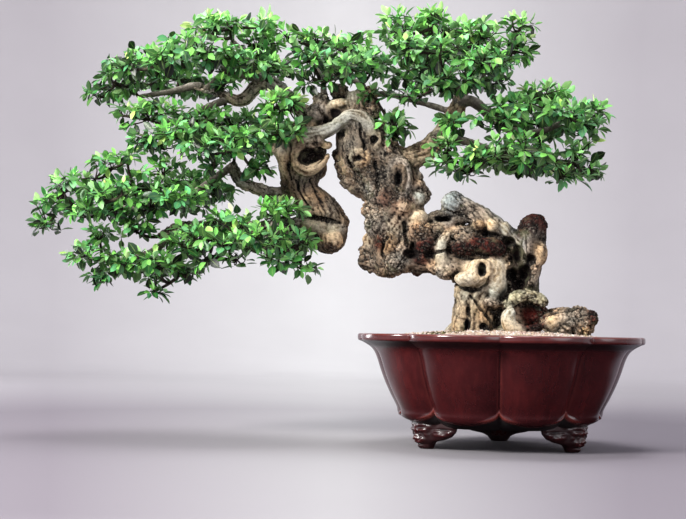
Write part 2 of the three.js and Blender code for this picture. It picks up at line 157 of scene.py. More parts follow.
def smooth_path(points: Array, spacing: float) -> Array:
    """Run a smooth curve through points and cut it into steps of about the spacing.

    Each span's places are the sum of its four nearest points, weighted with the four cubic
    Catmull-Rom polynomials. Every column after the first three, such as a radius, runs along.

    Args:
        points: Places and radii, (N, 3 or more).
        spacing: Length of a step.

    Returns:
        The steps, in the same columns.
    """
    ends = np.vstack([2 * points[0] - points[1], points, 2 * points[-1] - points[-2]])
    spans = []
    for before, start, end, after in zip(ends, ends[1:], ends[2:], ends[3:]):
        count = max(2, math.ceil(np.linalg.norm(end[:3] - start[:3]) / spacing))
        t = np.linspace(0.0, 1.0, count, endpoint=False)[:, None]
        bend = 2 * before - 5 * start + 4 * end - after
        twist = -before + 3 * start - 3 * end + after
        spans.append(0.5 * (2 * start + (end - before) * t + bend * t**2 + twist * t**3))
    return np.vstack([*spans, points[-1:]])


def flat_run(points: Sequence[tuple[float, float]], spacing: float) -> Array:
    """Cut a smooth run through flat points into even steps, without its last point."""
    flat = np.array(points, float)
    return smooth_path(np.column_stack([flat[:, 0], flat[:, 1] * 0, flat[:, 1]]), spacing)[:-1, [0, 2]]


def grid_faces(rows: int, columns: int, closed: bool = True) -> Array:
    """Join the neighbours of a grid of places, stored row by row, with four-cornered faces.

    Args:
        rows: Number of rows.
        columns: Number of places in a row.
        closed: Whether the last column meets the first.

    Returns:
        Four indices a face. They turn left round +Z where rows run along +Y and columns along +X.
    """
    row = np.arange(rows - 1)[:, None] * columns
    column = np.arange(columns if closed else columns - 1)[None, :]
    after = (column + 1) % columns
    corners = [row + column, row + after, row + columns + after, row + columns + column]
    return np.stack([np.broadcast_to(c, corners[0].shape) for c in corners], -1).reshape(-1, 4)


def fan_faces(pole: int, first: int, count: int, flipped: bool = False) -> Array:
    """Close a ring of places, stored one after another, with triangles to a pole."""
    ring = first + np.arange(count)
    after = first + (np.arange(count) + 1) % count
    ring, after = (after, ring) if flipped else (ring, after)
    return np.stack([ring, after, np.full(count, pole), np.full(count, -1)], axis=1)


@dataclass
class Shape:
    """A surface under construction.

    Attributes:
        places: Corners, (N, 3), in millimetres.
        faces: Four indices a face; the last is -1 in a triangle.
        tint: A colour for each corner, (N, 3), or for each face where face_tint is true.
        marks: Up to three shares a corner that say how strongly the finish's patterns show.
        chart: Where each corner lies on the piece's own flat map, (N, 2).
        edges: Whether each corner lies on a sharp edge.
        face_tint: Whether tint has a row for each face.
    """

    places: Array
    faces: Array
    tint: Array | None = None
    marks: Array | None = None
    chart: Array | None = None
    edges: Array | None = None
    face_tint: bool = False

    @staticmethod
    def joined(shapes: Sequence["Shape"]) -> "Shape":
        """Put several shapes with the same attributes into one."""
        offsets = np.cumsum([0] + [len(shape.places) for shape in shapes[:-1]])
        faces = [
            np.where(shape.faces < 0, -1, shape.faces + offset)
            for shape, offset in zip(shapes, offsets)
        ]

        def gathered(name: str) -> Array | None:
            """Stack one attribute of all the shapes."""
            values = [getattr(shape, name) for shape in shapes]
            return None if values[0] is None else np.concatenate(values)

        return Shape(
            gathered("places"),
            np.concatenate(faces),
            gathered("tint"),
            gathered("marks"),
            gathered("chart"),
            gathered("edges"),
            shapes[0].face_tint,
        )

    def normals(self) -> Array:
        """Mean direction of the faces round each corner; a face counts by its area."""
        used = np.where(self.faces[:, 3] < 0, self.faces[:, 2], self.faces[:, 3])
        first, second, third = (self.places[self.faces[:, k]] for k in range(3))
        across = np.cross(third - first, self.places[used] - second)
        flat = self.faces[:, 3] < 0
        across[flat] = np.cross(second - first, third - first)[flat]
        corners = np.column_stack([self.faces[:, :3], used]).ravel()
        total = [
            np.bincount(corners, np.repeat(across[:, k], 4), minlength=len(self.places))
            for k in range(3)
        ]
        return unit(np.stack(total, axis=1))

    def relaxed(self, values: Array, rounds: int) -> Array:
        """Replace each corner's values by the mean of its faces' corners, rounds times."""
        quads = self.faces[self.faces[:, 3] >= 0]
        count = np.bincount(quads.ravel(), minlength=len(self.places))[:, None]
        columns = values.reshape(len(self.places), -1)
        for _ in range(rounds):
            mean = columns[quads].mean(axis=1)
            summed = [
                np.bincount(quads.ravel(), np.repeat(mean[:, k], 4), minlength=len(columns))
                for k in range(columns.shape[1])
            ]
            columns = np.stack(summed, axis=1) / np.maximum(count, 1)
        return columns.reshape(values.shape)

    def to_piece(
        self,
        name: str,
        material: bpy.types.Material,
        slot: str | None,
        replaced: Sequence[str] = (),
        smooth: bool = True,
    ) -> bpy.types.Object:
        """Make the Blender object, which rides on the one body.

        Args:
            name: The piece's name.
            material: Its finish.
            slot: A material slot of the record, none for the backdrop; not used.
            replaced: CAD nodes that it stands for.
            smooth: Whether light runs smoothly over its faces.

        Returns:
            The object, at the origin, with its place in its mesh.
        """
        mesh = bpy.data.meshes.new(name)
        sizes = (self.faces >= 0).sum(axis=1)
        corners = self.faces[self.faces >= 0].astype(np.int32)
        mesh.vertices.add(len(self.places))
        mesh.loops.add(len(corners))
        mesh.polygons.add(len(sizes))
        metres = self.places * MM + POT_AXIS
        mesh.vertices.foreach_set("co", metres.astype(np.float32).ravel())
        starts = np.concatenate([[0], np.cumsum(sizes)[:-1]]).astype(np.int32)
        mesh.polygons.foreach_set("loop_start", starts)
        mesh.loops.foreach_set("vertex_index", corners)
        mesh.polygons.foreach_set("use_smooth", np.full(len(sizes), smooth))
        mesh.update(calc_edges=True)
        if self.tint is not None:
            domain = "CORNER" if self.face_tint else "POINT"
            rows = np.repeat(self.tint, sizes, axis=0) if self.face_tint else self.tint
            self.colour_layer(mesh, "tint", domain, rows)
        if self.marks is not None:
            self.colour_layer(mesh, "marks", "POINT", self.marks)
        if self.chart is not None:
            layer = mesh.uv_layers.new(name="chart")
            layer.uv.foreach_set("vector", self.chart[corners].astype(np.float32).ravel())
        if self.edges is not None:
            pairs = np.zeros(2 * len(mesh.edges), np.int32)
            mesh.edges.foreach_get("vertices", pairs)
            sharp = mesh.attributes.new("sharp_edge", "BOOLEAN", "EDGE")
            sharp.data.foreach_set("value", self.edges[pairs.reshape(-1, 2)].all(axis=1))
        mesh.materials.append(material)
        piece = bpy.data.objects.new(name, mesh)
        bpy.context.scene.collection.objects.link(piece)
        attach(piece, "root")
        if replaced:
            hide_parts(*replaced)
        log.info("%s: %d triangles", name, (sizes - 2).sum())
        return piece

    @staticmethod
    def colour_layer(mesh: bpy.types.Mesh, name: str, domain: str, rows: Array) -> None:
        """Write three values a row into a named colour attribute of a mesh."""
        layer = mesh.color_attributes.new(name, "FLOAT_COLOR", domain)
        full = np.column_stack([rows, np.ones(len(rows))]).astype(np.float32)
        layer.data.foreach_set("color", full.ravel())


def tubes(paths: Array, radii: Array, sides: int) -> Shape:
    """Carry a circle along many paths at once, each closed by a pole at either end.

    A ring's places are its centre plus the radius times the cosine and sine of the angle along two
    directions across the path; a pole stands on the centre of the first and the last ring.

    Args:
        paths: Ring centres, (tubes, rings, 3).
        radii: Ring radii, (tubes, rings).
        sides: Number of places in a ring.

    Returns:
        All the tubes as one shape.
    """
    count, rings = radii.shape
    along = unit(np.gradient(paths, axis=1))
    mean = unit(paths[:, -1] - paths[:, 0])
    helper = np.where(np.abs(mean[:, 1:2]) < 0.8, [[0.0, 1.0, 0.0]], [[1.0, 0.0, 0.0]])
    side = unit(np.cross(along, helper[:, None, :]))
    rise = np.cross(side, along)
    angle = 2 * np.pi * np.arange(sides) / sides
    circle = np.cos(angle)[:, None] * side[:, :, None] - np.sin(angle)[:, None] * rise[:, :, None]
    skin = paths[:, :, None] + radii[:, :, None, None] * circle
    poles = paths[:, [0, -1]]
    places = np.concatenate([skin.reshape(count, -1, 3), poles], axis=1)
    foot, tip = rings * sides, rings * sides + 1
    one = np.concatenate([
        grid_faces(rings, sides),
        fan_faces(foot, 0, sides, flipped=True),
        fan_faces(tip, (rings - 1) * sides, sides),
    ])
    offsets = np.arange(count)[:, None, None] * places.shape[1]
    faces = np.where(one < 0, -1, one + offsets).reshape(-1, 4)
    return Shape(places.reshape(-1, 3), faces)


class Recipe:
    """A material and short ways to add the nodes that the finishes share."""

    # Numbers of the mix node's colour sockets, which share their names with its other kinds
    MIX_COLOURS = (6, 7)
    MIX_RESULT = 2

    def __init__(self, name: str) -> None:
        """Start a material with its shader and Object coordinates."""
        self.material = bpy.data.materials.new(name)
        self.material.use_nodes = True
        self.tree = self.material.node_tree
        self.shader = self.tree.nodes["Principled BSDF"]
        self.places = self.tree.nodes.new("ShaderNodeTexCoord").outputs["Object"]

    def link(self, value: object, socket: bpy.types.NodeSocket) -> None:
        """Feed a socket from another node's output, or set it to a constant."""
        if isinstance(value, bpy.types.NodeSocket):
            self.tree.links.new(value, socket)
        else:
            socket.default_value = value

    def stretched(self, x: float, y: float, z: float) -> bpy.types.NodeSocket:
        """Object coordinates, scaled along each axis."""
        mapping = self.tree.nodes.new("ShaderNodeMapping")
        mapping.inputs["Scale"].default_value = (x, y, z)
        self.tree.links.new(self.places, mapping.inputs["Vector"])
        return mapping.outputs["Vector"]

    def noise(
        self,
        millimetres: float,
        detail: float = 4.0,
        roughness: float = 0.55,
        vector: bpy.types.NodeSocket | None = None,
    ) -> bpy.types.NodeSocket:
        """Soft random grey in patches of about that many millimetres."""
        made = self.tree.nodes.new("ShaderNodeTexNoise")
        self.tree.links.new(vector or self.places, made.inputs["Vector"])
        made.inputs["Scale"].default_value = 1.0 / (millimetres * MM)
        made.inputs["Detail"].default_value = detail
        made.inputs["Roughness"].default_value = roughness
        return made.outputs["Fac"]

    def cells(self, millimetres: float) -> bpy.types.NodeSocket:
        """Distance to the nearest scattered seed, in cells of about that many millimetres."""
        made = self.tree.nodes.new("ShaderNodeTexVoronoi")
        self.tree.links.new(self.places, made.inputs["Vector"])
        made.inputs["Scale"].default_value = 1.0 / (millimetres * MM)
        return made.outputs["Distance"]

    def layer(self, name: str) -> bpy.types.Node:
        """Read a colour attribute of the mesh."""
        made = self.tree.nodes.new("ShaderNodeAttribute")
        made.attribute_name = name
        return made

    def channels(self, name: str) -> tuple[bpy.types.NodeSocket, ...]:
        """Read the three values of a colour attribute one by one."""
        made = self.tree.nodes.new("ShaderNodeSeparateColor")
        self.tree.links.new(self.layer(name).outputs["Color"], made.inputs["Color"])
        return tuple(made.outputs)

    def chart(self) -> tuple[bpy.types.NodeSocket, ...]:
        """Read the mesh's own flat map: along and across."""
        source = self.tree.nodes.new("ShaderNodeUVMap")
        source.uv_map = "chart"
        made = self.tree.nodes.new("ShaderNodeSeparateXYZ")
        self.tree.links.new(source.outputs["UV"], made.inputs["Vector"])
        return made.outputs["X"], made.outputs["Y"]

    def level(
        self, value: object, low: float, high: float, start: float = 0.0, end: float = 1.0
    ) -> bpy.types.NodeSocket:
        """Turn the range from low to high into the range from start to end."""
        made = self.tree.nodes.new("ShaderNodeMapRange")
        self.link(value, made.inputs["Value"])
        for name, number in zip(("From Min", "From Max", "To Min", "To Max"), (low, high, start, end)):
            made.inputs[name].default_value = number
        return made.outputs["Result"]

    def times(self, first: object, second: object, operation: str = "MULTIPLY") -> bpy.types.NodeSocket:
        """Combine two greys, by multiplying unless another operation is named."""
        made = self.tree.nodes.new("ShaderNodeMath")
        made.operation = operation
        self.link(first, made.inputs[0])
        self.link(second, made.inputs[1])
        return made.outputs["Value"]

    def mix(self, share: object, first: object, second: object, kind: str = "MIX") -> bpy.types.NodeSocket:
        """Blend two colours; share 0 is all first and 1 all second."""
        made = self.tree.nodes.new("ShaderNodeMix")
        made.data_type = "RGBA"
        made.blend_type = kind
        self.link(share, made.inputs[0])
        for value, number in zip((first, second), self.MIX_COLOURS):
            self.link((*value, 1.0) if isinstance(value, tuple) else value, made.inputs[number])
        return made.outputs[self.MIX_RESULT]

    def vector(
        self, operation: str, first: bpy.types.NodeSocket, second: Place | None = None
    ) -> bpy.types.Node:
        """Work on a direction or a place by the named operation, with a constant where it needs one."""
        made = self.tree.nodes.new("ShaderNodeVectorMath")
        made.operation = operation
        self.tree.links.new(first, made.inputs[0])
        if second is not None:
            made.inputs[1].default_value = second
        return made

    def bump(self, height: object, millimetres: float, below: object | None = None) -> bpy.types.NodeSocket:
        """Lift the light on a surface by a grey's height, over any bump below it."""
        made = self.tree.nodes.new("ShaderNodeBump")
        made.inputs["Distance"].default_value = millimetres * MM
        self.link(height, made.inputs["Height"])
        if below is not None:
            self.link(below, made.inputs["Normal"])
        return made.outputs["Normal"]

    def finish(self, constants: dict[str, object], **links: bpy.types.NodeSocket) -> bpy.types.Material:
        """Set the shader's constants, link the rest, and give the material."""
        for name, value in constants.items():
            self.shader.inputs[name].default_value = value
        for name, socket in links.items():
            self.tree.links.new(socket, self.shader.inputs[name.replace("_", " ")])
        return self.material


@dataclass(frozen=True)
class Glaze:
    """Deep red-brown gloss glaze that breaks to rust where it runs thin over edges, with painted
    highlights, painted shade and painted shadow laid on by marks.
    """

    body: Colour = paint(80, 27, 28)
    deep: Colour = paint(46, 15, 18)
    # Near-black painted shadow, under the petals' edges and under the rim
    painted_shadow: Colour = paint(11, 6, 9)
    edge: Colour = paint(140, 66, 58)
    roughness: float = 0.2

    def material(self) -> bpy.types.Material:
        """Mix glaze by soft clouds and runs, then by the marks on the mesh: thin glaze and painted
        highlights, painted shade, painted shadow.
        """
        recipe = Recipe("red_brown_glaze")
        # Marks: thin glaze with painted highlights, painted shade, and painted shadow
        thin, shade, black = recipe.channels("marks")
        clouds = recipe.level(recipe.noise(75.0, 2.0), 0.3, 0.7, 0.3, 1.0)
        base = recipe.mix(clouds, self.deep, self.body)
        runs = recipe.noise(9.0, 3.0, vector=recipe.stretched(1.0, 1.0, 0.1))
        base = recipe.mix(recipe.level(runs, 0.42, 0.7, 0.5, 0.0), base, self.deep)
        speck = recipe.level(recipe.noise(1.6, 3.0), 0.62, 0.75, 0.0, 0.2)
        base = recipe.mix(speck, base, self.edge)
        softness = recipe.level(recipe.noise(7.0), 0.3, 0.7, 0.5, 0.95)
        base = recipe.mix(recipe.times(thin, softness), base, self.edge)
        base = recipe.mix(recipe.times(shade, 0.75), base, self.deep)
        base = recipe.mix(recipe.times(black, 0.9), base, self.painted_shadow)
        matt = recipe.level(recipe.noise(12.0), 0.3, 0.7, self.roughness - 0.04, self.roughness + 0.05)
        matt = recipe.times(matt, recipe.times(black, 0.5), "ADD")
        skin = recipe.bump(recipe.noise(14.0, 2.0), 0.25)
        skin = recipe.bump(recipe.noise(1.2, 2.0), 0.03, skin)
        constants = {"Specular IOR Level": 0.5, "Coat Weight": 0.3, "Coat Roughness": 0.08}
        return recipe.finish(constants, Base_Color=base, Roughness=matt, Normal=skin)


@dataclass(frozen=True)
class Skin:
    """One kind of wood surface: two colours, and how fibrous, crusty and pitted it is, in mm."""

    light: Colour
    dark: Colour
    fibre: float
    crust: float
    pits: float


class Bark(Enum):
    """The kinds of wood surface on the tree."""

    PALE = Skin(paint(240, 228, 203), paint(184, 163, 130), 0.6, 0.35, 0.2)
    ASH = Skin(paint(214, 207, 190), paint(138, 127, 108), 0.8, 0.4, 0.2)
    TAN = Skin(paint(218, 197, 166), paint(116, 92, 68), 1.5, 0.7, 0.5)
    GREY = Skin(paint(208, 199, 186), paint(84, 73, 64), 1.6, 1.4, 0.8)
    CRUST = Skin(paint(232, 208, 180), paint(78, 47, 38), 0.4, 2.4, 1.3)
    RED = Skin(paint(108, 50, 40), paint(27, 9, 7), 0.3, 2.2, 2.0)
    BROWN = Skin(paint(150, 133, 114), paint(46, 36, 30), 1.6, 1.2, 0.9)
    DARK = Skin(paint(96, 88, 80), paint(25, 21, 19), 1.0, 1.6, 1.0)
    MOSS = Skin(paint(246, 236, 198), paint(148, 130, 88), 0.3, 2.0, 0.6)
    EMBER = Skin(paint(120, 42, 30), paint(28, 9, 7), 0.3, 1.6, 1.4)
    # HOLLOW: the inside of holes, painted near-black as shade
    HOLLOW = Skin(paint(46, 29, 24), paint(14, 10, 9), 0.4, 0.6, 0.4)

    @staticmethod
    def table(name: str) -> Array:
        """One property of every kind, a row each."""
        return np.array([getattr(kind.value, name) for kind in Bark])


@dataclass(frozen=True)
class BarkFinish:
    """Wood whose colours and rough places are marked on the mesh."""

    speck: Colour = paint(240, 228, 206)
    pit: Colour = paint(26, 15, 13)
    crack: Colour = paint(70, 48, 42)
    lichen: Colour = paint(160, 160, 122)

    def material(self) -> bpy.types.Material:
        """Add grain, pale specks on crust, dark pits on red burls and a trace of lichen."""
        recipe = Recipe("bark")
        _, crust, pits = recipe.channels("marks")
        base = recipe.layer("tint").outputs["Color"]
        grain = recipe.noise(3.6, 6.0, 0.7)
        base = recipe.mix(recipe.level(grain, 0.3, 0.54, 0.7, 0.0), base, self.pit, "MULTIPLY")
        crusted = recipe.level(crust, 0.1, 0.7, 0.0, 0.6)
        between = recipe.times(recipe.level(recipe.cells(4.4), 0.3, 0.7), crusted)
        base = recipe.mix(between, base, self.crack, "MULTIPLY")
        specks = recipe.level(recipe.noise(3.2, 2.0), 0.54, 0.66)
        specks = recipe.times(specks, recipe.level(pits, 0.5, 0.8, 0.4, 0.1))
        base = recipe.mix(recipe.times(specks, crust), base, self.speck)
        holes = recipe.times(recipe.level(recipe.cells(4.6), 0.4, 0.18), pits)
        base = recipe.mix(recipe.times(holes, 0.8), base, self.pit)
        patches = recipe.times(recipe.level(recipe.noise(26.0, 5.0), 0.56, 0.7), 0.22)
        base = recipe.mix(patches, base, self.lichen)
        low = recipe.times(holes, between, "MAXIMUM")
        skin = recipe.bump(recipe.times(recipe.noise(2.4, 5.0, 0.7), low, "SUBTRACT"), 1.7)
        skin = recipe.bump(recipe.noise(0.9, 3.0), 0.35, skin)
        constants = {"Roughness": 0.85, "Specular IOR Level": 0.22}
        return recipe.finish(constants, Base_Color=base, Normal=skin)


@dataclass(frozen=True)
class LeafFinish:
    """Thin waxy leaves: a paler midrib and soft mottling over each leaf's own colour."""

    rib: Colour = paint(170, 204, 110)
    mottling: Colour = paint(30, 70, 40)

    def material(self) -> bpy.types.Material:
        """Draw the midrib along the middle of the leaf's flat map."""
        recipe = Recipe("leaf")
        along, across = recipe.chart()
        base = recipe.layer("tint").outputs["Color"]
        middle = recipe.times(recipe.times(across, 0.5, "SUBTRACT"), 0.0, "ABSOLUTE")
        rib = recipe.times(recipe.level(middle, 0.07, 0.015), recipe.level(along, 1.0, 0.1, 0.1, 0.6))
        base = recipe.mix(rib, base, self.rib)
        mottled = recipe.level(recipe.noise(6.0, 3.0), 0.3, 0.7, 0.2, 0.0)
        base = recipe.mix(mottled, base, self.mottling, "MULTIPLY")
        skin = recipe.bump(recipe.noise(3.0, 2.0), 0.25)
        constants = {"Roughness": 0.42, "Specular IOR Level": 0.45}
        return recipe.finish(constants, Base_Color=base, Normal=skin)


@dataclass(frozen=True)
class GritFinish:
    """Dry, dusty grains whose colours are on the mesh."""

    dust: Colour = paint(150, 120, 90)

    def material(self) -> bpy.types.Material:
        """Add fine dust and a rough skin."""
        recipe = Recipe("grit")
        base = recipe.layer("tint").outputs["Color"]
        dusty = recipe.level(recipe.noise(1.3, 4.0), 0.35, 0.7, 0.5, 0.0)
        base = recipe.mix(dusty, base, self.dust, "MULTIPLY")
        skin = recipe.bump(recipe.noise(0.8, 4.0), 0.4)
        return recipe.finish({"Roughness": 0.92, "Specular IOR Level": 0.25}, Base_Color=base, Normal=skin)


@dataclass(frozen=True)
class SoilFinish:
    """Moist granular bonsai soil."""

    light: Colour = paint(112, 76, 48)
    dark: Colour = paint(44, 30, 22)

    def material(self) -> bpy.types.Material:
        """Mix two browns in crumbs."""
        recipe = Recipe("granular_soil")
        crumbs = recipe.cells(4.5)
        base = recipe.mix(recipe.level(crumbs, 0.1, 0.6), self.light, self.dark)
        skin = recipe.bump(recipe.times(crumbs, -1.0), 1.8)
        return recipe.finish({"Roughness": 0.95}, Base_Color=base, Normal=skin)


@dataclass(frozen=True)
class NetFinish:
    """Black moulded plastic."""

    light: Colour = paint(44, 44, 46)
    dark: Colour = paint(18, 18, 20)

    def material(self) -> bpy.types.Material:
        """A fine moulded grain."""
        recipe = Recipe("net_plastic")
        base = recipe.mix(recipe.noise(5.0), self.dark, self.light)
        skin = recipe.bump(recipe.noise(0.6, 2.0), 0.06)
        return recipe.finish({"Roughness": 0.55}, Base_Color=base, Normal=skin)


@dataclass(frozen=True)
class PaperFinish:
    """Matt studio paper: a pale wall and a floor painted darker near the pot as shade, with a painted pool
    of light in a band behind the tree.

    Glossy surfaces see the floor in front of the pot as a dark painted reflection.

    Attributes:
        wall: Colour far away, beside the painted light band.
        floor: Colour under the pot, beside the band, darker as painted shade.
        lit_band_wall: Colour far away, in the painted light band.
        lit_band_floor: Colour under the pot, in the painted light band.
        painted_reflection: Colour of the dark painted reflection, seen by glossy rays.
        floor_reach: Distances, in metres, from which the floor's colour fades and where it has gone.
        painted_reflection_place: Middle of the painted reflection, in metres.
        painted_reflection_reach: Distances from it where it fades out and where it is full.
        band_place: Where the band starts, in metres.
        band_across: Level direction across the band.
        band_sines: Sines of the angles to its middle where it ends and where it is full.
    """

    wall: Colour = paint(207, 203, 207)
    floor: Colour = paint(121, 115, 123)
    lit_band_wall: Colour = paint(248, 248, 247)
    lit_band_floor: Colour = paint(154, 152, 155)
    painted_reflection: Colour = paint(30, 22, 26)
    floor_reach: tuple[float, float] = (0.9, 3.6)
    painted_reflection_place: Place = (0.5, -0.7, 0.0)
    painted_reflection_reach: tuple[float, float] = (1.0, 0.75)
    band_place: Place = (0.267, -2.12, 0.0)
    band_across: Place = (0.9932, 0.1167, 0.0)
    band_sines: tuple[float, float] = (0.21, 0.01)

    @staticmethod
    def away(recipe: Recipe, place: Place) -> bpy.types.NodeSocket:
        """Distance from a place, in metres."""
        return recipe.vector("DISTANCE", recipe.places, place).outputs["Value"]

    def painted_light_band(self, recipe: Recipe) -> bpy.types.NodeSocket:
        """How near a place is to the painted light band's middle: 1 there, 0 from about 12 degrees on.

        The unit direction from the band's start, times the direction across it, gives the sine.
        """
        ahead = recipe.vector("SUBTRACT", recipe.places, self.band_place).outputs["Vector"]
        heading = recipe.vector("NORMALIZE", ahead).outputs["Vector"]
        sine = recipe.vector("DOT_PRODUCT", heading, self.band_across).outputs["Value"]
        return recipe.level(recipe.times(sine, 0.0, "ABSOLUTE"), *self.band_sines)

    def material(self) -> bpy.types.Material:
        """Blend the tones by distance and by the painted light band, with a hardly visible mottling; glossy
        rays near the pot see the dark painted reflection.
        """
        recipe = Recipe("studio_paper")
        out = recipe.level(self.away(recipe, (0.0, 0.0, 0.0)), *self.floor_reach)
        beside = recipe.mix(out, self.floor, self.wall)
        behind = recipe.mix(out, self.lit_band_floor, self.lit_band_wall)
        base = recipe.mix(self.painted_light_band(recipe), beside, behind)
        faint = recipe.level(recipe.noise(400.0, 2.0), 0.3, 0.7, 0.0, 0.05)
        base = recipe.mix(faint, base, self.floor)
        # Painted reflection: glossy rays near the pot see a dark colour instead of the floor
        mirrored = recipe.tree.nodes.new("ShaderNodeLightPath").outputs["Is Glossy Ray"]
        near = recipe.level(self.away(recipe, self.painted_reflection_place), *self.painted_reflection_reach)
        base = recipe.mix(recipe.times(near, mirrored), base, self.painted_reflection)
        return recipe.finish({"Roughness": 0.95, "Specular IOR Level": 0.1}, Base_Color=base)


# Swellings and hollows of a foot's mask: side, height, lift, half width and half height
FACE_BUMPS = (
    (0, 34, 2.6, 5.5, 4.5), (9, 36.5, 2.4, 4, 3), (9.5, 28.5, 3.6, 6.5, 2.6), (0, 25, 2.6, 2.6, 5.5),
    (8.5, 22.2, -2.2, 5.2, 3.6), (8.4, 22.2, 3.2, 2.9, 2.4), (0, 17, 5.2, 4.2, 3.8),
    (3.8, 15, 1.8, 2, 2), (12, 14.5, 3.2, 4.6, 4.4), (5, 10.4, 3.0, 4.4, 2.8), (0, 7.2, -2.4, 9, 1.1),
    (0, 4.2, 1.6, 7, 2.2), (18, 29.5, 2.6, 3.2, 3.4), (18, 22, 2.2, 3, 3.4), (24, 34, 2.8, 3.2, 3.2),
    (24, 34, -2.4, 1.2, 1.2), (30, 39, 2.2, 3, 2.6), (17, 37, 2.4, 3.4, 3), (15.5, 20, -1.4, 1.4, 5),
    (35, 25, 3.6, 5.5, 5.5), (35, 25.5, -3.4, 2.2, 2.2), (46, 22, 2.6, 6, 3.2), (57, 26, 2.4, 6, 4),
    (46, 31, -1.6, 14, 1.6), (62, 34, 1.6, 4, 4),
)


@dataclass
class Pot:
    """One fired piece: a flared bowl of nine petals with a flat lobed rim, on three mask feet.

    Outlines are [radius, height] at the middle of a petal.

    Attributes:
        petals: Number of petals.
        first_crease: Direction of one of the creases between them, in degrees from +X.
        columns_per_petal: Places in a row across a petal.
        crowding: How strongly they crowd towards the creases, from 0 to 1.
        crease_depth: Share of the radius by which a crease is drawn in.
        crease_start: Radius from which the creases deepen.
        crease_full: Radius from which they are full.
        drain_radius: Radius of the drain hole.
        floor_top: Height of the floor inside.
        floor_radius: Radius of its flat part.
        underside: Height of the floor's underside.
        underside_radius: Radius of the flat underside.
        underside_rows: Number of the outline's rows under it.
        petal_foot: Height of the petals' lower edge in their middles.
        cusp_rise: How much higher that edge is at the creases.
        petal_top: Height over which the wall has nothing of that edge.
        petal_step: How far the wall steps back below the edge.
        bead: Height of the bead along the edge.
        bead_half_width: Its half width.
        seam: Depth of the fine seam in a crease.
        seam_half_width: Its half width.
        rim_edge_highlights: Heights of the painted highlights along the rim's upper and lower edge, and the
            width of each.
        foot_circle: Distance of the feet's middles from the axis.
        foot_top: Height of the feet, up into the bowl.
        foot_turns: Directions in which the feet face, in degrees from +X.
        foot_grid: Rows up and columns round a foot.
        foot_widths: A foot's half width by height.
        foot_depths: Its half depth by height.
        mask_strength: What the lifts of the mask's swellings are multiplied with.
        fine_points: How many of the wall's points are cut finely, for the petals' lower edge.
        wall: Outline of the wall, from the underside to the rim.
        lip: Outline of the rim.
        inside: Outline of the wall's inner side.
    """

    petals: int = 9
    first_crease: float = 30.0
    columns_per_petal: int = 30
    crowding: float = 0.72
    crease_depth: float = 0.088
    crease_start: float = 80.0
    crease_full: float = 130.0
    drain_radius: float = 22.0
    floor_top: float = 50.0
    floor_radius: float = 134.0
    underside: float = 34.0
    underside_radius: float = 136.0
    underside_rows: int = 10
    petal_foot: float = 42.0
    cusp_rise: float = 17.5
    petal_top: float = 66.0
    petal_step: float = 4.0
    bead: float = 2.8
    bead_half_width: float = 2.3
    seam: float = 0.7
    seam_half_width: float = 1.1
    rim_edge_highlights: Outline = ((171.6, 1.4), (164.6, 1.0))
    foot_circle: float = 126.0
    foot_top: float = 46.0
    foot_turns: tuple[float, ...] = (90.0, 210.0, 330.0)
    foot_grid: tuple[int, int] = (46, 124)
    foot_widths: Outline = (
        (0, 13), (3, 15.5), (8, 19), (12, 27), (16, 46), (21, 59), (28, 66), (34, 68),
    )
    foot_depths: Outline = ((0, 10), (3, 12), (8, 13.5), (16, 15), (28, 17), (46, 18))
    mask_strength: float = 1.3
    fine_points: int = 6
    wall: Outline = (
        (137, 34), (146, 38), (155.5, 44), (160.5, 51), (162.5, 60), (172, 78), (181, 97), (188.5, 116),
        (194.5, 134), (199.5, 145), (205.5, 152), (213, 157), (219.5, 160.3),
    )
    lip: Outline = (
        (219.5, 160.3), (223.5, 161.6), (225.6, 163), (226.3, 165.5), (226.3, 169.6), (225.6, 171.6),
        (223, 172.7), (216, 172.9), (208, 172.3), (205, 170), (202.5, 167.5),
    )
    inside: Outline = (
        (202.5, 167.5), (200, 166), (192, 154), (184, 135), (174, 106), (160, 76), (148, 58), (136, 50),
    )

    def outline(self) -> Array:
        """Walk once round the section: underside, wall, lip, inside, floor and drain hole."""
        parts = [
            flat_run([(self.drain_radius, self.underside), (self.underside_radius, self.underside)], 12.0),
            flat_run(self.wall[: self.fine_points], 1.3),
            flat_run(self.wall[self.fine_points - 1 :], 4.2),
            flat_run(self.lip, 1.6),
            flat_run(self.inside, 9.0),
            flat_run([(self.floor_radius, self.floor_top), (self.drain_radius, self.floor_top)], 16.0),
        ]
        return np.concatenate(parts)

    def petal_angles(self, columns: int) -> tuple[Array, Array]:
        """Directions of the places in a row, crowded together towards the creases.

        A share u of the way across a petal becomes u less the crowding times the sine of a full
        turn of u, over a full turn.

        Args:
            columns: Places across one petal.

        Returns:
            The angles, and how far each lies from its petal's middle, from 0 to 1 at a crease.
        """
        share = np.arange(columns) / columns
        share = share - self.crowding * np.sin(2 * np.pi * share) / (2 * np.pi)
        turns = (np.arange(self.petals)[:, None] + share).ravel()
        angle = math.radians(self.first_crease) + 2 * np.pi * turns / self.petals
        return angle, 2 * np.abs(np.tile(share, self.petals) - 0.5)

    def across(self, angle: Array) -> Array:
        """How far directions lie from their petals' middles, from 0 to 1 at a crease."""
        turns = (angle - math.radians(self.first_crease)) * self.petals / (2 * np.pi)
        return 2 * np.abs(turns - np.floor(turns) - 0.5)

    def drawn_in(self, radius: Array, across: Array) -> Array:
        """Share of the radius left: one less the crease depth times across to the power 2.4."""
        return 1.0 - self.crease_depth * ease(radius, self.crease_start, self.crease_full) * across**2.4

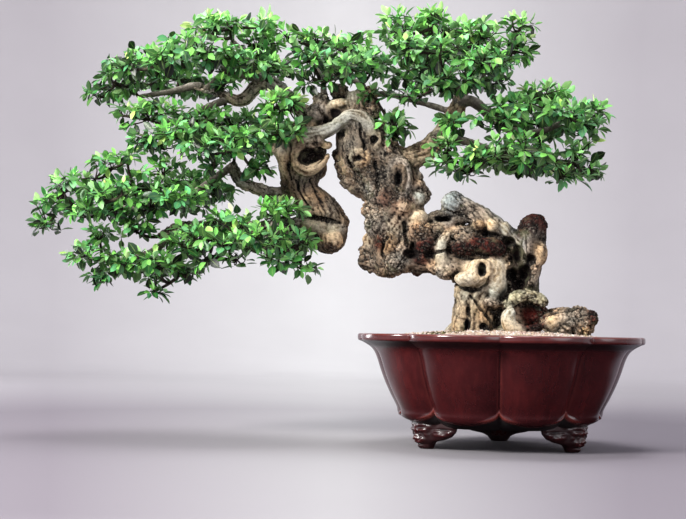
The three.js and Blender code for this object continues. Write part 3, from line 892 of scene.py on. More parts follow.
    def bowl(self) -> Shape:
        """Turn the outline round the axis and press the petals into it.

        The petals end in pointed arches: their lower edge rises by the cusp's rise times 0.6 t to
        the power 1.6 plus 0.4 t to the power 10, where t is 0 in a petal's middle and 1 at its
        creases. Below that edge the wall steps back, and a bead follows the edge near each point.

        Returns:
            The closed bowl.
        """
        outline = self.outline()
        angle, across = self.petal_angles(self.columns_per_petal)
        columns = len(angle)
        across = across[None, :]
        radius, height = (np.repeat(outline[:, k : k + 1], columns, axis=1) for k in (0, 1))
        row = np.arange(len(outline))[:, None]
        top_row = int(np.argmax(outline[:, 1]))
        outer = (row >= self.underside_rows) & (row < top_row)
        share = ease(radius, self.crease_start, self.crease_full)
        half_petal = radius * np.pi / self.petals
        edge_height = self.petal_foot + self.cusp_rise * (0.6 * across**1.6 + 0.4 * across**10)
        slope = self.cusp_rise * (0.96 * across**0.6 + 4.0 * across**9) / half_petal
        body = np.where(height > self.petal_top, 1.0, ease(height, edge_height - 0.8, edge_height + 1.0))
        from_edge = (height - edge_height) / np.sqrt(1.0 + slope**2)
        bead = np.exp(-((from_edge / self.bead_half_width) ** 2)) * ease(across, 0.3, 0.65)
        to_crease = (1 - across) * half_petal
        seam = np.exp(-((to_crease / self.seam_half_width) ** 2))
        seam = seam * ease(height, edge_height + 2, edge_height + 8) * (1 - ease(height, 150, 158))
        # A painted highlight line beside each crease
        beside = np.exp(-(((to_crease - 2.9) / 1.1) ** 2)) * body * (1 - ease(height, 140, 150))
        lift = -self.petal_step * (1 - body) + self.bead * bead - self.seam * seam
        places = np.stack([np.cos(angle) + 0 * radius, np.sin(angle) + 0 * radius, height], axis=-1)
        wobble = waves(places.reshape(-1, 3) * [90, 90, 1], 46.0, 5).reshape(radius.shape) * 0.4
        grown = radius * self.drawn_in(radius, across) + np.where(outer, lift + wobble * share, 0.0)
        places[..., 0] *= grown
        places[..., 1] *= grown
        # Painted highlights along the rim's upper and lower edge
        upper_edge_highlight, lower_edge_highlight = (
            np.exp(-(((height - level) / softness) ** 2)) for level, softness in self.rim_edge_highlights
        )
        upper_edge_highlight = upper_edge_highlight * ease(radius, 215, 223)
        lower_edge_highlight = lower_edge_highlight * ease(radius, 219, 224)
        rim = 0.1 * ease(height, 163, 165) * ease(radius, 215, 222)
        # The bead's rust line, glaze thin on the bead with a painted highlight, and the painted crease
        # lines
        ridge = np.maximum(bead * (0.4 + 0.6 * ease(across, 0.5, 0.95)), 0.18 * beside)
        thin = np.maximum(ridge, np.maximum(0.5 * upper_edge_highlight, 0.25 * lower_edge_highlight))
        thin = np.maximum(np.clip(thin, 0, 1) * outer, rim)
        # Painted shade under the rim, at the bowl's bottom, under the petals' edges and in the crease seams
        cove = ease(height, 150, 157) * (1 - ease(height, 161, 163)) * outer
        below = (1 - ease(from_edge, -3.5, -1.2)) * outer * (height < self.petal_top)
        low = 0.7 * (1 - ease(height, 46, 82)) * outer * (1 - bead)
        deep = np.maximum(np.maximum(cove, low), np.maximum(below, 0.8 * seam * outer))
        # Marks: thin glaze and painted highlights, painted shade, painted shadow under the edges and the
        # rim
        marks = np.stack([thin, deep, np.maximum(below, 0.55 * cove)], axis=-1)
        faces = grid_faces(len(outline), columns)
        last = (len(outline) - 1) * columns + np.arange(columns)
        after = (len(outline) - 1) * columns + (np.arange(columns) + 1) % columns
        closing = np.stack([last, after, after - last[0], last - last[0]], axis=1)
        return Shape(places.reshape(-1, 3), np.concatenate([faces, closing]), marks=marks.reshape(-1, 3))

    def foot(self, turn: float) -> Shape:
        """One bracket foot with a plain lion mask, generic, facing outwards.

        Rows go up and columns round. A cross-section is a rounded oblong, bent round the pot's
        axis, whose half width and half depth come from tables by height, so that it spreads into
        two scrolled wings under the bowl. Its front is lifted by a sum of bell-shaped bumps, each
        one lift times e to the minus squared distance over its half sizes.

        Args:
            turn: Direction in which the foot faces, in degrees from +X.

        Returns:
            The closed foot.
        """
        rows, columns = self.foot_grid
        height = np.linspace(0, self.foot_top, rows)[:, None]
        angle = 2 * np.pi * np.arange(columns)[None, :] / columns
        half_width = np.interp(height, *zip(*self.foot_widths))
        half_depth = np.interp(height, *zip(*self.foot_depths))
        cosine, sine = np.cos(angle), np.sin(angle)
        side = np.sign(sine) * (0.3 * np.abs(sine) + 0.7 * np.abs(sine) ** 2.2) * half_width
        wing = 1 - 0.42 * ease(np.abs(side), 12, 30)
        out = np.sign(cosine) * np.abs(cosine) ** 0.75 * half_depth * wing
        lift = np.zeros_like(side)
        for middle, up, amount, wide, tall in FACE_BUMPS:
            for mirror in (1, -1) if middle else (1,):
                near = ((side - mirror * middle) / wide) ** 2 + ((height - up) / tall) ** 2
                lift += self.mask_strength * amount * np.exp(-near)
        combed = ease(np.abs(side), 13, 18) * (1 - ease(np.abs(side), 26, 32)) * ease(height, 12, 18)
        front = ease(cosine + 0 * height, 0.02, 0.35)
        out = out + (lift + 0.5 * np.sin(side * 1.5) * combed) * front * ease(height, 0.3, 3.0)
        around = side / self.foot_circle
        reach = out + self.foot_circle
        places = np.stack([reach * np.cos(around), reach * np.sin(around), height + 0 * side], axis=-1)
        places = places.reshape(-1, 3)
        places = np.vstack([places, [[self.foot_circle, 0, 0], [self.foot_circle, 0, self.foot_top]]])
        faces = np.concatenate([
            grid_faces(rows, columns),
            fan_faces(rows * columns, 0, columns, flipped=True),
            fan_faces(rows * columns + 1, (rows - 1) * columns, columns),
        ])
        # Glaze runs thin on the mask's raised parts; its hollows get painted shade
        thin = np.append(ease(lift, 1.0, 4.5).ravel(), [0, 0])
        deep = np.append(ease(-lift, 0.1, 1.5).ravel(), [0, 0])
        a = math.radians(turn)
        spin = np.array([[math.cos(a), math.sin(a), 0], [-math.sin(a), math.cos(a), 0], [0, 0, 1]])
        # The whole foot gets painted shade and painted shadow, least on the raised parts, most in the
        # hollows
        marks = np.stack([0.25 * thin, 0.7 + 0.3 * deep, 0.55 * (1 - thin) + 0.4 * deep], axis=1)
        return Shape(places @ spin, faces, marks=np.clip(marks, 0, 1))

    def build(self, finish: Glaze) -> bpy.types.Object:
        """Make the pot, with its feet, as one piece."""
        shapes = [self.bowl(), *(self.foot(turn) for turn in self.foot_turns)]
        return Shape.joined(shapes).to_piece("glazed_pot", finish.material(), "glazed_clay", ["pot"])


Points = list[list[float]]


class Side(IntEnum):
    """The two sides of the tree, by the sign of Y."""

    FRONT = -1
    BACK = 1


# Thick limbs: the kind of bark and [x, y, z, radius] along the limb
LIMBS: dict[str, tuple[Bark, Points]] = {
    "neck": (Bark.TAN, [[-30, 2, 99, 34], [-32, 0, 135, 36], [-38, 0, 175, 37], [-44, -2, 205, 31],
                        [-45, -4, 235, 27], [-35, 0, 271, 33]]),
    "core": (Bark.CRUST, [[13, 25, 99, 32], [13, 25, 135, 36], [12, 25, 185, 39], [18, 25, 232, 36],
                          [16, 20, 276, 28], [26, 12, 308, 25]]),
    "level": (Bark.BROWN, [[-210, 0, 288, 15], [-182, 0, 289, 21], [-142, 2, 291, 22], [-95, 4, 291, 23],
                           [-48, 6, 282, 31]]),
    "column_foot": (Bark.BROWN, [[-175, 0, 292, 31], [-172, 5, 329, 37], [-166, 10, 372, 42],
                                [-174, 10, 396, 44]]),
    "column": (Bark.BROWN, [[-168, 10, 372, 41], [-178, 10, 408, 47], [-206, 8, 438, 45],
                            [-223, 0, 475, 39], [-230, 0, 522, 26]]),
    "shoulder": (Bark.BROWN, [[-150, 4, 372, 26], [-154, 0, 412, 29], [-176, 0, 448, 28]]),
    "right_post": (Bark.DARK, [[46, 5, 222, 18], [47, 3, 257, 14], [45, 2, 286, 20], [46, 2, 312, 24],
                               [49, 0, 338, 21]]),
    "log": (Bark.GREY, [[-77, -5, 378, 17], [-57, -6, 370, 17], [-27, -4, 354, 17], [12, 1, 328, 16],
                        [36, 0, 312, 17]]),
    "shelf": (Bark.BROWN, [[-114, -2, 354, 8], [-92, -6, 360, 9], [-66, -4, 356, 13]]),
    "ridge": (Bark.PALE, [[-82, -24, 326, 8], [-91, -26, 314, 9], [-94, -25, 298, 9], [-90, -22, 284, 9]]),
    "crescent_root": (Bark.PALE, [[17, -40, 208, 8.5], [13, -44, 203, 10.5], [12, -46, 194, 11.5],
                                  [17, -46, 186, 11], [26, -44, 181, 8.5], [35, -41, 178, 5]]),
    "back_root": (Bark.TAN, [[20, 40, 215, 25], [10, 78, 178, 19], [4, 104, 150, 13]]),
    "left_root": (Bark.TAN, [[-48, 18, 190, 24], [-82, 34, 160, 17], [-112, 48, 138, 12]]),
    "arch": (Bark.ASH, [[-196, -14, 466, 13], [-200, -23, 485, 11], [-209, -28, 501, 10.5],
                        [-224, -30, 511, 11], [-240, -31, 512, 10.5], [-252, -33, 504, 10],
                        [-263, -33, 495, 10.5], [-280, -31, 488, 11.5], [-302, -24, 482, 15]]),
    "hanging_trunk": (Bark.BROWN, [[-308, 0, 505, 20], [-316, 0, 480, 29], [-316, 0, 452, 37],
                                   [-320, 0, 423, 32], [-316, 0, 397, 27], [-298, 0, 377, 28],
                                   [-278, 0, 354, 30], [-272, 0, 330, 29], [-270, 0, 316, 18]]),
    "hanging_stub": (Bark.TAN, [[-330, -6, 452, 14], [-352, -12, 464, 11], [-369, -15, 474, 8]]),
    "left_fold": (Bark.PALE, [[-353, -17, 478, 7.5], [-352, -20, 460, 8.5], [-345, -21, 440, 8],
                              [-336, -18, 420, 7]]),
    "low_bough": (Bark.GREY, [[-330, 0, 392, 15], [-358, 0, 391, 12], [-376, 0, 397, 10],
                              [-400, -2, 405, 9], [-419, -3, 415, 9], [-428, -5, 437, 8]]),
    "high_bough": (Bark.GREY, [[-296, -4, 512, 14], [-321, -5, 528, 12.5], [-341, -5, 546, 12],
                               [-358, -4, 564, 12], [-375, -3, 572, 11.5], [-394, -2, 565, 10.5],
                               [-408, 0, 549, 10], [-424, 0, 543, 9], [-443, 2, 551, 7.5],
                               [-467, 4, 560, 6.5], [-495, 5, 568, 6]]),
    "right_bough": (Bark.TAN, [[-178, 0, 440, 25], [-148, 0, 448, 20], [-118, 0, 464, 17],
                               [-92, 0, 492, 15], [-73, 0, 526, 13], [-66, 0, 552, 9]]),
    "low_middle_bough": (Bark.GREY, [[-288, 0, 350, 18], [-318, -4, 343, 14], [-352, -8, 337, 13],
                                     [-395, -14, 335, 12], [-444, -20, 337, 11], [-476, -24, 336, 11],
                                     [-504, -29, 334, 11.5], [-524, -32, 327, 10], [-536, -33, 322, 6]]),
    "lower_lip": (Bark.PALE, [[-306, -22, 344, 7], [-284, -26, 338, 8], [-265, -24, 334, 8],
                              [-255, -15, 336, 7]]),
    "upper_lip": (Bark.TAN, [[-310, -20, 366, 5], [-286, -24, 361, 6], [-267, -22, 356, 5],
                             [-257, -14, 354, 5]]),
    "pocket_lip": (Bark.TAN, [[-321, -24, 484, 5], [-327, -30, 460, 6.5], [-322, -33, 438, 7],
                              [-311, -34, 427, 7.5], [-299, -34, 426, 7.5], [-287, -33, 433, 7],
                              [-279, -29, 442, 6], [-273, -22, 451, 4]]),
    "post_strand": (Bark.GREY, [[38, -19, 328, 4], [39, -23, 316, 6], [41, -23, 302, 5]]),
    "mouth_lip": (Bark.RED, [[27, -38, 187, 6], [42, -41, 184, 7], [57, -38, 186, 7],
                             [72, -30, 192, 6]]),
    "post_strip": (Bark.CRUST, [[57, -12, 294, 8], [52, -15, 276, 8], [48, -15, 254, 8]]),
    "post_rim": (Bark.TAN, [[12, -22, 284, 3.5], [11, -24, 268, 4], [20, -25, 256, 4],
                            [32, -24, 246, 4.5]]),
    "moss_back": (Bark.MOSS, [[12, -29, 223, 9], [26, -32, 233, 10], [46, -31, 235, 10],
                              [62, -26, 226, 10]]),
    "back_strand": (Bark.GREY, [[-150, 34, 300, 12], [-160, 46, 340, 13], [-150, 48, 380, 12],
                                [-168, 50, 420, 12], [-200, 42, 460, 10]]),
    "back_fold": (Bark.TAN, [[-8, 42, 290, 14], [-14, 50, 250, 15], [-6, 56, 210, 16], [-2, 60, 170, 16]]),
}

# Burls and knobs: the kind of bark and [x, y, z, half width, half depth, half height]
BURLS: tuple[tuple[Bark, list[float]], ...] = (
    (Bark.PALE, [-24, -9, 271, 37, 34, 32]), (Bark.PALE, [-49, -36, 259, 22, 17, 12]),
    (Bark.PALE, [79, -30, 193, 12, 13, 11]), (Bark.CRUST, [95, -8, 194, 33, 31, 24]),
    (Bark.CRUST, [121, -6, 192, 25, 25, 24]), (Bark.RED, [139, -15, 203, 12, 15, 13]),
    (Bark.CRUST, [121, -10, 211, 13, 14, 10]), (Bark.CRUST, [96, -16, 209, 14, 13, 9]),
    (Bark.RED, [50, 0, 346, 23, 20, 18]), (Bark.TAN, [62, -12, 301, 10, 13, 18]),
    (Bark.RED, [36, -10, 334, 12, 12, 11]), (Bark.GREY, [-75, -4, 380, 18, 19, 18]),
    (Bark.TAN, [-36, -19, 342, 11, 10, 9]), (Bark.PALE, [-14, -17, 342, 10, 11, 11]),
    (Bark.PALE, [7, -12, 336, 8, 10, 13]), (Bark.BROWN, [-24, 4, 326, 26, 18, 18]),
    (Bark.BROWN, [2, 4, 322, 22, 18, 16]), (Bark.RED, [-45, -14, 310, 36, 31, 16]),
    (Bark.RED, [-18, -18, 308, 26, 27, 17]), (Bark.CRUST, [-58, -30, 322, 14, 12, 9]),
    (Bark.CRUST, [-99, -12, 334, 16, 16, 15]), (Bark.CRUST, [-84, -14, 322, 17, 16, 15]),
    (Bark.CRUST, [-67, -10, 328, 18, 18, 15]), (Bark.BROWN, [-48, -2, 330, 20, 18, 16]),
    (Bark.CRUST, [-84, -18, 270, 17, 15, 13]), (Bark.CRUST, [-101, -12, 279, 13, 13, 11]),
    (Bark.CRUST, [-10, -10, 224, 20, 18, 11]), (Bark.PALE, [-130, -10, 353, 17, 20, 17]),
    (Bark.PALE, [-6, -11, 256, 18, 28, 28]), (Bark.EMBER, [50, 4, 206, 26, 18, 20]),
    (Bark.CRUST, [-126, -12, 333, 23, 25, 19]), (Bark.RED, [-116, -14, 312, 20, 22, 16]),
    (Bark.CRUST, [-192, -16, 344, 23, 21, 24]), (Bark.RED, [-160, -20, 372, 14, 14, 16]),
    (Bark.CRUST, [-154, -26, 369, 12, 12, 12]), (Bark.PALE, [-131, -8, 386, 14, 16, 16]),
    (Bark.CRUST, [-131, -8, 404, 13, 14, 13]), (Bark.GREY, [-124, 0, 392, 13, 15, 16]),
    (Bark.CRUST, [-166, -14, 284, 25, 23, 17]), (Bark.CRUST, [-196, -8, 285, 14, 14, 12]),
    (Bark.CRUST, [-186, -6, 272, 12, 13, 9]), (Bark.CRUST, [-210, -2, 305, 16, 14, 9]),
    (Bark.CRUST, [-205, -4, 366, 16, 20, 15]), (Bark.BROWN, [-246, -2, 430, 15, 18, 18]),
    (Bark.BROWN, [-242, -4, 411, 14, 16, 11]), (Bark.BROWN, [-226, -4, 402, 16, 16, 11]),
    (Bark.BROWN, [-256, 0, 455, 12, 16, 13]), (Bark.TAN, [-265, -22, 318, 19, 15, 15]),
    (Bark.RED, [-268, -27, 310, 10, 8, 7]), (Bark.BROWN, [-251, -6, 348, 12, 14, 10]),
    (Bark.CRUST, [-287, -12, 542, 14, 13, 13]), (Bark.PALE, [-257, -18, 535, 18, 10, 8]),
    (Bark.BROWN, [-258, -8, 556, 16, 14, 13]), (Bark.PALE, [-232, -8, 543, 17, 17, 15]),
    (Bark.CRUST, [-209, -4, 553, 14, 14, 13]), (Bark.CRUST, [-203, -8, 526, 13, 15, 18]),
    (Bark.GREY, [-294, -16, 520, 17, 13, 17]), (Bark.BROWN, [-264, -2, 523, 27, 20, 22]),
    (Bark.TAN, [-302, -8, 500, 17, 17, 14]), (Bark.CRUST, [-190, -16, 490, 14, 14, 16]),
    (Bark.CRUST, [-177, -12, 470, 13, 15, 16]), (Bark.CRUST, [-150, 40, 300, 26, 18, 20]),
    (Bark.RED, [-176, 46, 350, 18, 14, 20]), (Bark.CRUST, [-210, 40, 420, 22, 16, 22]),
    (Bark.CRUST, [-30, 32, 268, 26, 20, 22]), (Bark.RED, [-46, 26, 304, 20, 16, 14]),
    (Bark.CRUST, [40, 48, 236, 20, 16, 18]), (Bark.MOSS, [8, 62, 196, 22, 16, 14]),
    (Bark.TAN, [-300, 28, 440, 20, 14, 22]), (Bark.CRUST, [-268, 22, 340, 18, 14, 16]),
    (Bark.CRUST, [104, 18, 190, 24, 20, 18]), (Bark.TAN, [56, 40, 196, 20, 18, 16]),
    (Bark.CRUST, [-106, -2, 481, 12, 15, 12]), (Bark.TAN, [-84, -4, 506, 12, 14, 12]),
    (Bark.CRUST, [-131, 4, 463, 14, 16, 11]), (Bark.GREY, [-88, -6, 346, 19, 15, 14]),
    (Bark.ASH, [-79, -11, 379, 15, 15, 15]), (Bark.CRUST, [-286, -31, 472, 10, 9, 7]),
    (Bark.TAN, [-274, -29, 467, 9, 9, 6]), (Bark.GREY, [-8, -40, 178, 5, 6, 9]),
)

# Rolled lips round old wounds: the kind of bark and [x, y, z, half width, half height, thickness]
LIPS: tuple[tuple[Bark, list[float]], ...] = (
    (Bark.PALE, [-28, -42, 273, 12, 13, 4]),
    (Bark.TAN, [-222, -38, 446, 12, 11, 4]), (Bark.BROWN, [-222, -36, 446, 20, 18, 3]),
    (Bark.TAN, [-199, -29, 477, 9, 11, 4.5]), (Bark.BROWN, [-160, -31, 416, 10, 17, 4]),
    (Bark.GREY, [-160, -26, 416, 17, 27, 5]), (Bark.TAN, [-124, -14, 461, 7, 6, 2.6]),
)

# Holes: the kind of bark inside, mostly HOLLOW's painted shade, how sharp the edge is, and [x, y, z, half
# width, depth, height]
HOLES: tuple[tuple[Bark, float, list[float]], ...] = (
    (Bark.HOLLOW, 1.5, [-300, -34, 451, 15, 27, 12]), (Bark.HOLLOW, 1.5, [-309, -34, 447, 9, 22, 10]),
    (Bark.HOLLOW, 1.5, [-287, -32, 453, 10, 20, 8]), (Bark.HOLLOW, 1.5, [-6, -38, 199, 7, 20, 13]),
    (Bark.HOLLOW, 1.2, [-28, -46, 273, 5, 15, 9]), (Bark.HOLLOW, 1.5, [-50, -40, 187, 4, 18, 11]),
    (Bark.HOLLOW, 1.5, [-24, -42, 186, 6.5, 18, 7]), (Bark.HOLLOW, 1.5, [-17, -44, 180, 6, 16, 6]),
    (Bark.HOLLOW, 1.5, [-74, -8, 223, 6, 12, 8]), (Bark.HOLLOW, 1.5, [18, -18, 267, 9, 26, 12]),
    (Bark.HOLLOW, 1.5, [37, -18, 270, 11, 26, 14]), (Bark.HOLLOW, 1.5, [29, -18, 254, 12, 25, 12]),
    (Bark.HOLLOW, 2.0, [25, -20, 299, 8, 17, 15]), (Bark.HOLLOW, 2.0, [45, -24, 290, 8, 15, 8]),
    (Bark.EMBER, 2.0, [46, -31, 207, 25, 20, 14]), (Bark.HOLLOW, 2.0, [31, -34, 212, 8, 22, 9]),
    (Bark.HOLLOW, 2.0, [-139, -26, 298, 12, 16, 7]), (Bark.HOLLOW, 2.0, [-111, -28, 296, 10, 14, 7]),
    (Bark.HOLLOW, 1.5, [-262, -30, 519, 10, 16, 9]), (Bark.HOLLOW, 1.5, [-289, -30, 321, 5, 12, 4.5]),
    (Bark.HOLLOW, 1.5, [-222, -40, 446, 5.5, 9, 4.5]), (Bark.HOLLOW, 1.5, [-199, -34, 476, 5, 10, 6]),
    (Bark.HOLLOW, 1.5, [-160, -34, 415, 4.5, 12, 10]), (Bark.HOLLOW, 2.0, [-90, -14, 353, 13, 16, 4]),
    (Bark.HOLLOW, 1.5, [-24, -22, 330, 8, 14, 6]), (Bark.HOLLOW, 1.5, [12, -16, 318, 10, 18, 8]),
    (Bark.HOLLOW, 2.0, [-180, 58, 390, 8, 14, 12]), (Bark.HOLLOW, 2.0, [-10, 62, 236, 8, 14, 10]),
    (Bark.HOLLOW, 2.0, [-312, 40, 420, 8, 14, 12]), (Bark.HOLLOW, 2.0, [70, 34, 216, 8, 16, 7]),
)

# Grooves, sunk and painted dark as shade, in the front or the back: [x, z, radius] along the groove
GROOVES: tuple[tuple[Side, Points], ...] = (
    (Side.FRONT, [[-46, 233, 1.5], [-31, 214, 2.2], [-17, 198, 3], [-4, 181, 3.6]]),
    (Side.FRONT, [[-68, 252, 1.8], [-56, 245, 2.6], [-44, 242, 3], [-31, 243, 2.6], [-22, 251, 2],
                  [-17, 262, 1.4]]),
    (Side.FRONT, [[-196, 440, 1.6], [-190, 415, 2.2], [-193, 388, 1.6]]),
    (Side.FRONT, [[-306, 356, 2.4], [-284, 352, 3.2], [-262, 347, 2.4], [-250, 345, 1.6]]),
    (Side.FRONT, [[-70, 294, 1.8], [-44, 291, 1.8], [-20, 295, 1.8]]),
    (Side.FRONT, [[-331, 468, 1.6], [-333, 440, 2], [-329, 412, 1.6]]),
    (Side.FRONT, [[-150, 345, 2.2], [-148, 325, 2.8], [-146, 305, 2.2]]),
    (Side.FRONT, [[-96, 372, 1.6], [-70, 362, 1.8], [-44, 352, 1.6]]),
    (Side.FRONT, [[13, 300, 1.8], [14, 284, 2.4], [13, 240, 2.4], [8, 226, 2]]),
    (Side.FRONT, [[-1, 216, 3], [-4, 202, 4.6], [-7, 186, 4.4]]),
    (Side.FRONT, [[-242, 458, 1.5], [-234, 432, 1.8], [-224, 408, 1.5]]),
    (Side.FRONT, [[-222, 500, 1.5], [-220, 482, 1.8], [-212, 462, 1.5]]),
    (Side.FRONT, [[-322, 412, 1.5], [-312, 388, 1.7], [-297, 367, 1.5]]),
    (Side.FRONT, [[-302, 414, 1.4], [-292, 394, 1.6], [-278, 374, 1.4]]),
    (Side.FRONT, [[-176, 322, 1.8], [-184, 304, 2.2], [-180, 288, 1.8]]),
    (Side.FRONT, [[-120, 306, 1.8], [-100, 300, 2.2], [-84, 304, 1.8]]),
    (Side.FRONT, [[-52, 222, 1.2], [-47, 206, 1.5], [-47, 190, 1.3]]),
    (Side.FRONT, [[35, 324, 1.6], [33, 306, 2], [36, 292, 1.6]]),
    (Side.BACK, [[-14, 280, 2.6], [-24, 240, 2.8], [-20, 190, 2.6]]),
    (Side.BACK, [[-186, 440, 2.6], [-176, 400, 2.8], [-184, 350, 2.6]]),
    (Side.BACK, [[-60, 310, 2.2], [-20, 304, 2.8], [20, 290, 2.2]]),
    (Side.BACK, [[-300, 470, 2.2], [-310, 430, 2.8], [-296, 390, 2.2]]),
)

# How many small burls are scattered over a limb, and the kinds of bark they are drawn from
SCATTER: dict[str, tuple[int, tuple[Bark, ...]]] = {
    "core": (30, (Bark.CRUST, Bark.RED, Bark.GREY, Bark.TAN)),
    "level": (26, (Bark.CRUST, Bark.BROWN, Bark.RED)),
    "column_foot": (60, (Bark.CRUST, Bark.CRUST, Bark.BROWN, Bark.RED, Bark.TAN)),
    "column": (62, (Bark.BROWN, Bark.CRUST, Bark.GREY, Bark.CRUST, Bark.TAN)),
    "shoulder": (28, (Bark.GREY, Bark.CRUST, Bark.CRUST, Bark.TAN)),
    "right_post": (14, (Bark.DARK, Bark.RED, Bark.DARK, Bark.CRUST)),
    "log": (8, (Bark.GREY, Bark.PALE)),
    "hanging_trunk": (34, (Bark.CRUST, Bark.BROWN, Bark.TAN, Bark.DARK)),
    "high_bough": (12, (Bark.GREY, Bark.TAN)),
    "right_bough": (12, (Bark.PALE, Bark.CRUST, Bark.TAN)),
    "low_middle_bough": (10, (Bark.GREY, Bark.BROWN)),
    "back_root": (10, (Bark.TAN, Bark.CRUST)),
    "left_root": (8, (Bark.TAN, Bark.GREY)),
    "back_fold": (10, (Bark.CRUST, Bark.TAN)),
    "back_strand": (10, (Bark.CRUST, Bark.GREY)),
}

# Places without scattered burls: [x, y, z, reach]
CLEAR = np.array([
    [-30, -42, 268, 34], [-48, -45, 256, 28], [-199, -32, 477, 22], [-160, -36, 416, 34],
    [-298, -30, 449, 40], [12, -44, 194, 34], [-224, -30, 512, 34], [-260, -32, 496, 30],
    [-40, -32, 200, 44], [28, -20, 266, 26], [-222, -38, 446, 26], [-280, -28, 335, 34],
    [42, -34, 212, 26], [-60, -20, 366, 30],
])

# Thin branches: [x, y, z, radius] along the branch
BRANCHES: dict[str, Points] = {
    "long_branch": [[-428, -5, 437, 7], [-456, -10, 417, 6], [-495, -15, 388, 6], [-540, -18, 369, 5],
                    [-600, -20, 367, 4.5], [-658, -20, 360, 3]],
    "high_bough_end": [[-484, 5, 567, 6.5], [-495, 5, 569, 6], [-540, 10, 560, 5], [-590, 12, 553, 3.5]],
    "high_loop": [[-370, -4, 572, 8], [-402, -8, 580, 6.5], [-427, -8, 584, 5.5], [-452, -6, 580, 5],
                  [-468, -1, 570, 4.5], [-478, 3, 561, 4.5]],
    "high_fork": [[-427, -8, 584, 5], [-450, -16, 594, 4.5], [-480, -28, 610, 3.5]],
    "crown_branch": [[-384, 0, 570, 7], [-398, 20, 598, 6], [-420, 30, 626, 5], [-440, 28, 648, 3]],
    "middle_branch": [[-440, 2, 546, 6], [-478, -12, 528, 5], [-508, -26, 509, 5], [-534, -38, 500, 3.5]],
    "right_bough_end": [[-67, 0, 545, 9.5], [-66, 0, 552, 9], [-80, 4, 579, 7], [-98, 8, 604, 4]],
    "right_fork": [[-74, 0, 536, 11], [-50, -4, 541, 9], [-29, -8, 527, 9], [-8, -12, 507, 8],
                   [15, -14, 493, 7], [43, -14, 488, 6], [70, -16, 494, 5], [98, -16, 508, 4],
                   [112, -12, 521, 3]],
    "top_right_branch": [[-66, 0, 548, 8], [-44, -5, 574, 6], [-18, -10, 594, 5], [8, -12, 611, 3]],
    "lower_right_branch": [[-104, 4, 482, 12], [-66, 10, 481, 7], [-31, 15, 471, 6], [13, 20, 461, 5],
                           [68, 20, 451, 4.5], [108, 15, 447, 3]],
    "link_branch": [[-212, 4, 552, 7], [-186, 8, 555, 5], [-158, 10, 549, 5], [-122, 8, 539, 5],
                    [-78, 2, 524, 6]],
    "top_branch": [[-233, 0, 550, 8], [-222, 0, 566, 6], [-249, 0, 580, 5], [-283, 0, 586, 5],
                   [-298, 4, 606, 4], [-300, 8, 630, 3]],
    "top_strut": [[-283, 0, 584, 5], [-284, -4, 568, 5], [-283, -8, 550, 6]],
    "top_shoot": [[-246, 0, 579, 5], [-250, 12, 605, 4], [-247, 26, 628, 3]],
    "low_middle_shoot": [[-340, -8, 337, 9], [-352, -48, 326, 6], [-358, -84, 314, 3]],
    "low_twig": [[-424, -16, 334, 7], [-438, -25, 301, 5], [-465, -30, 277, 5], [-485, -30, 266, 5],
                 [-504, -34, 272, 3]],
    "low_left_branch": [[-524, -28, 317, 6], [-554, -30, 296, 5], [-595, -28, 284, 4],
                        [-632, -28, 284, 3]],
    "sprig_twig": [[-186, -10, 466, 8], [-176, -16, 484, 5], [-171, -20, 500, 2.5]],
}


def limb_reach(points: Array, path: Array) -> tuple[Array, Array, Array]:
    """Measure points against a limb that tapers along a path.

    The distance to each straight step is that to its nearest point, less the radius there; the
    smallest over all steps counts.

    Args:
        points: Places, (N, 3).
        path: Steps of the limb, [x, y, z, radius] each.

    Returns:
        Distance to the skin, negative inside; length along the limb; and angle round it.
    """
    starts, steps = path[:-1, :3], np.diff(path[:, :3], axis=0)
    squared = (steps**2).sum(axis=1)
    best = np.full(len(points), 1e9, np.float32)
    step, share = np.zeros(len(points), int), np.zeros(len(points), np.float32)
    for i, (start, reach) in enumerate(zip(starts, steps)):
        from_start = points - start
        t = np.clip(from_start @ reach / squared[i], 0.0, 1.0)
        gap = np.linalg.norm(from_start - t[:, None] * reach, axis=1)
        gap -= path[i, 3] + t * (path[i + 1, 3] - path[i, 3])
        nearer = gap < best
        best[nearer], step[nearer], share[nearer] = gap[nearer], i, t[nearer]
    lengths = np.sqrt(squared)
    along = np.concatenate([[0], np.cumsum(lengths)])[step] + share * lengths[step]
    direction = unit(steps)[step]
    out = points - starts[step] - share[:, None] * steps[step]
    side = unit(np.cross(direction, [0.0, 1.0, 0.001]))
    around = np.arctan2((out * np.cross(side, direction)).sum(axis=1), (out * side).sum(axis=1))
    return best, along, around


def lump_reach(points: Array, lump: Array) -> Array:
    """Distance to an egg: its scaled radius less one, times the scaled radius over its slope."""
    scaled = (points - lump[:3]) / lump[3:]
    radius = np.linalg.norm(scaled, axis=1)
    slope = np.linalg.norm(scaled / lump[3:], axis=1)
    return np.where(radius < 1e-3, -lump[3:].min(), radius * (radius - 1.0) / np.maximum(slope, 1e-6))


def lip_reach(points: Array, lip: Array) -> Array:
    """Distance to an upright ring that faces the camera, as a circle carried round an oval."""
    x, y, z = (points - lip[:3]).T
    wide, tall, thick = lip[3:]
    from_ring = (np.hypot(x / wide, z / tall) - 1.0) * (wide + tall) / 2
    return np.hypot(from_ring, y) - thick


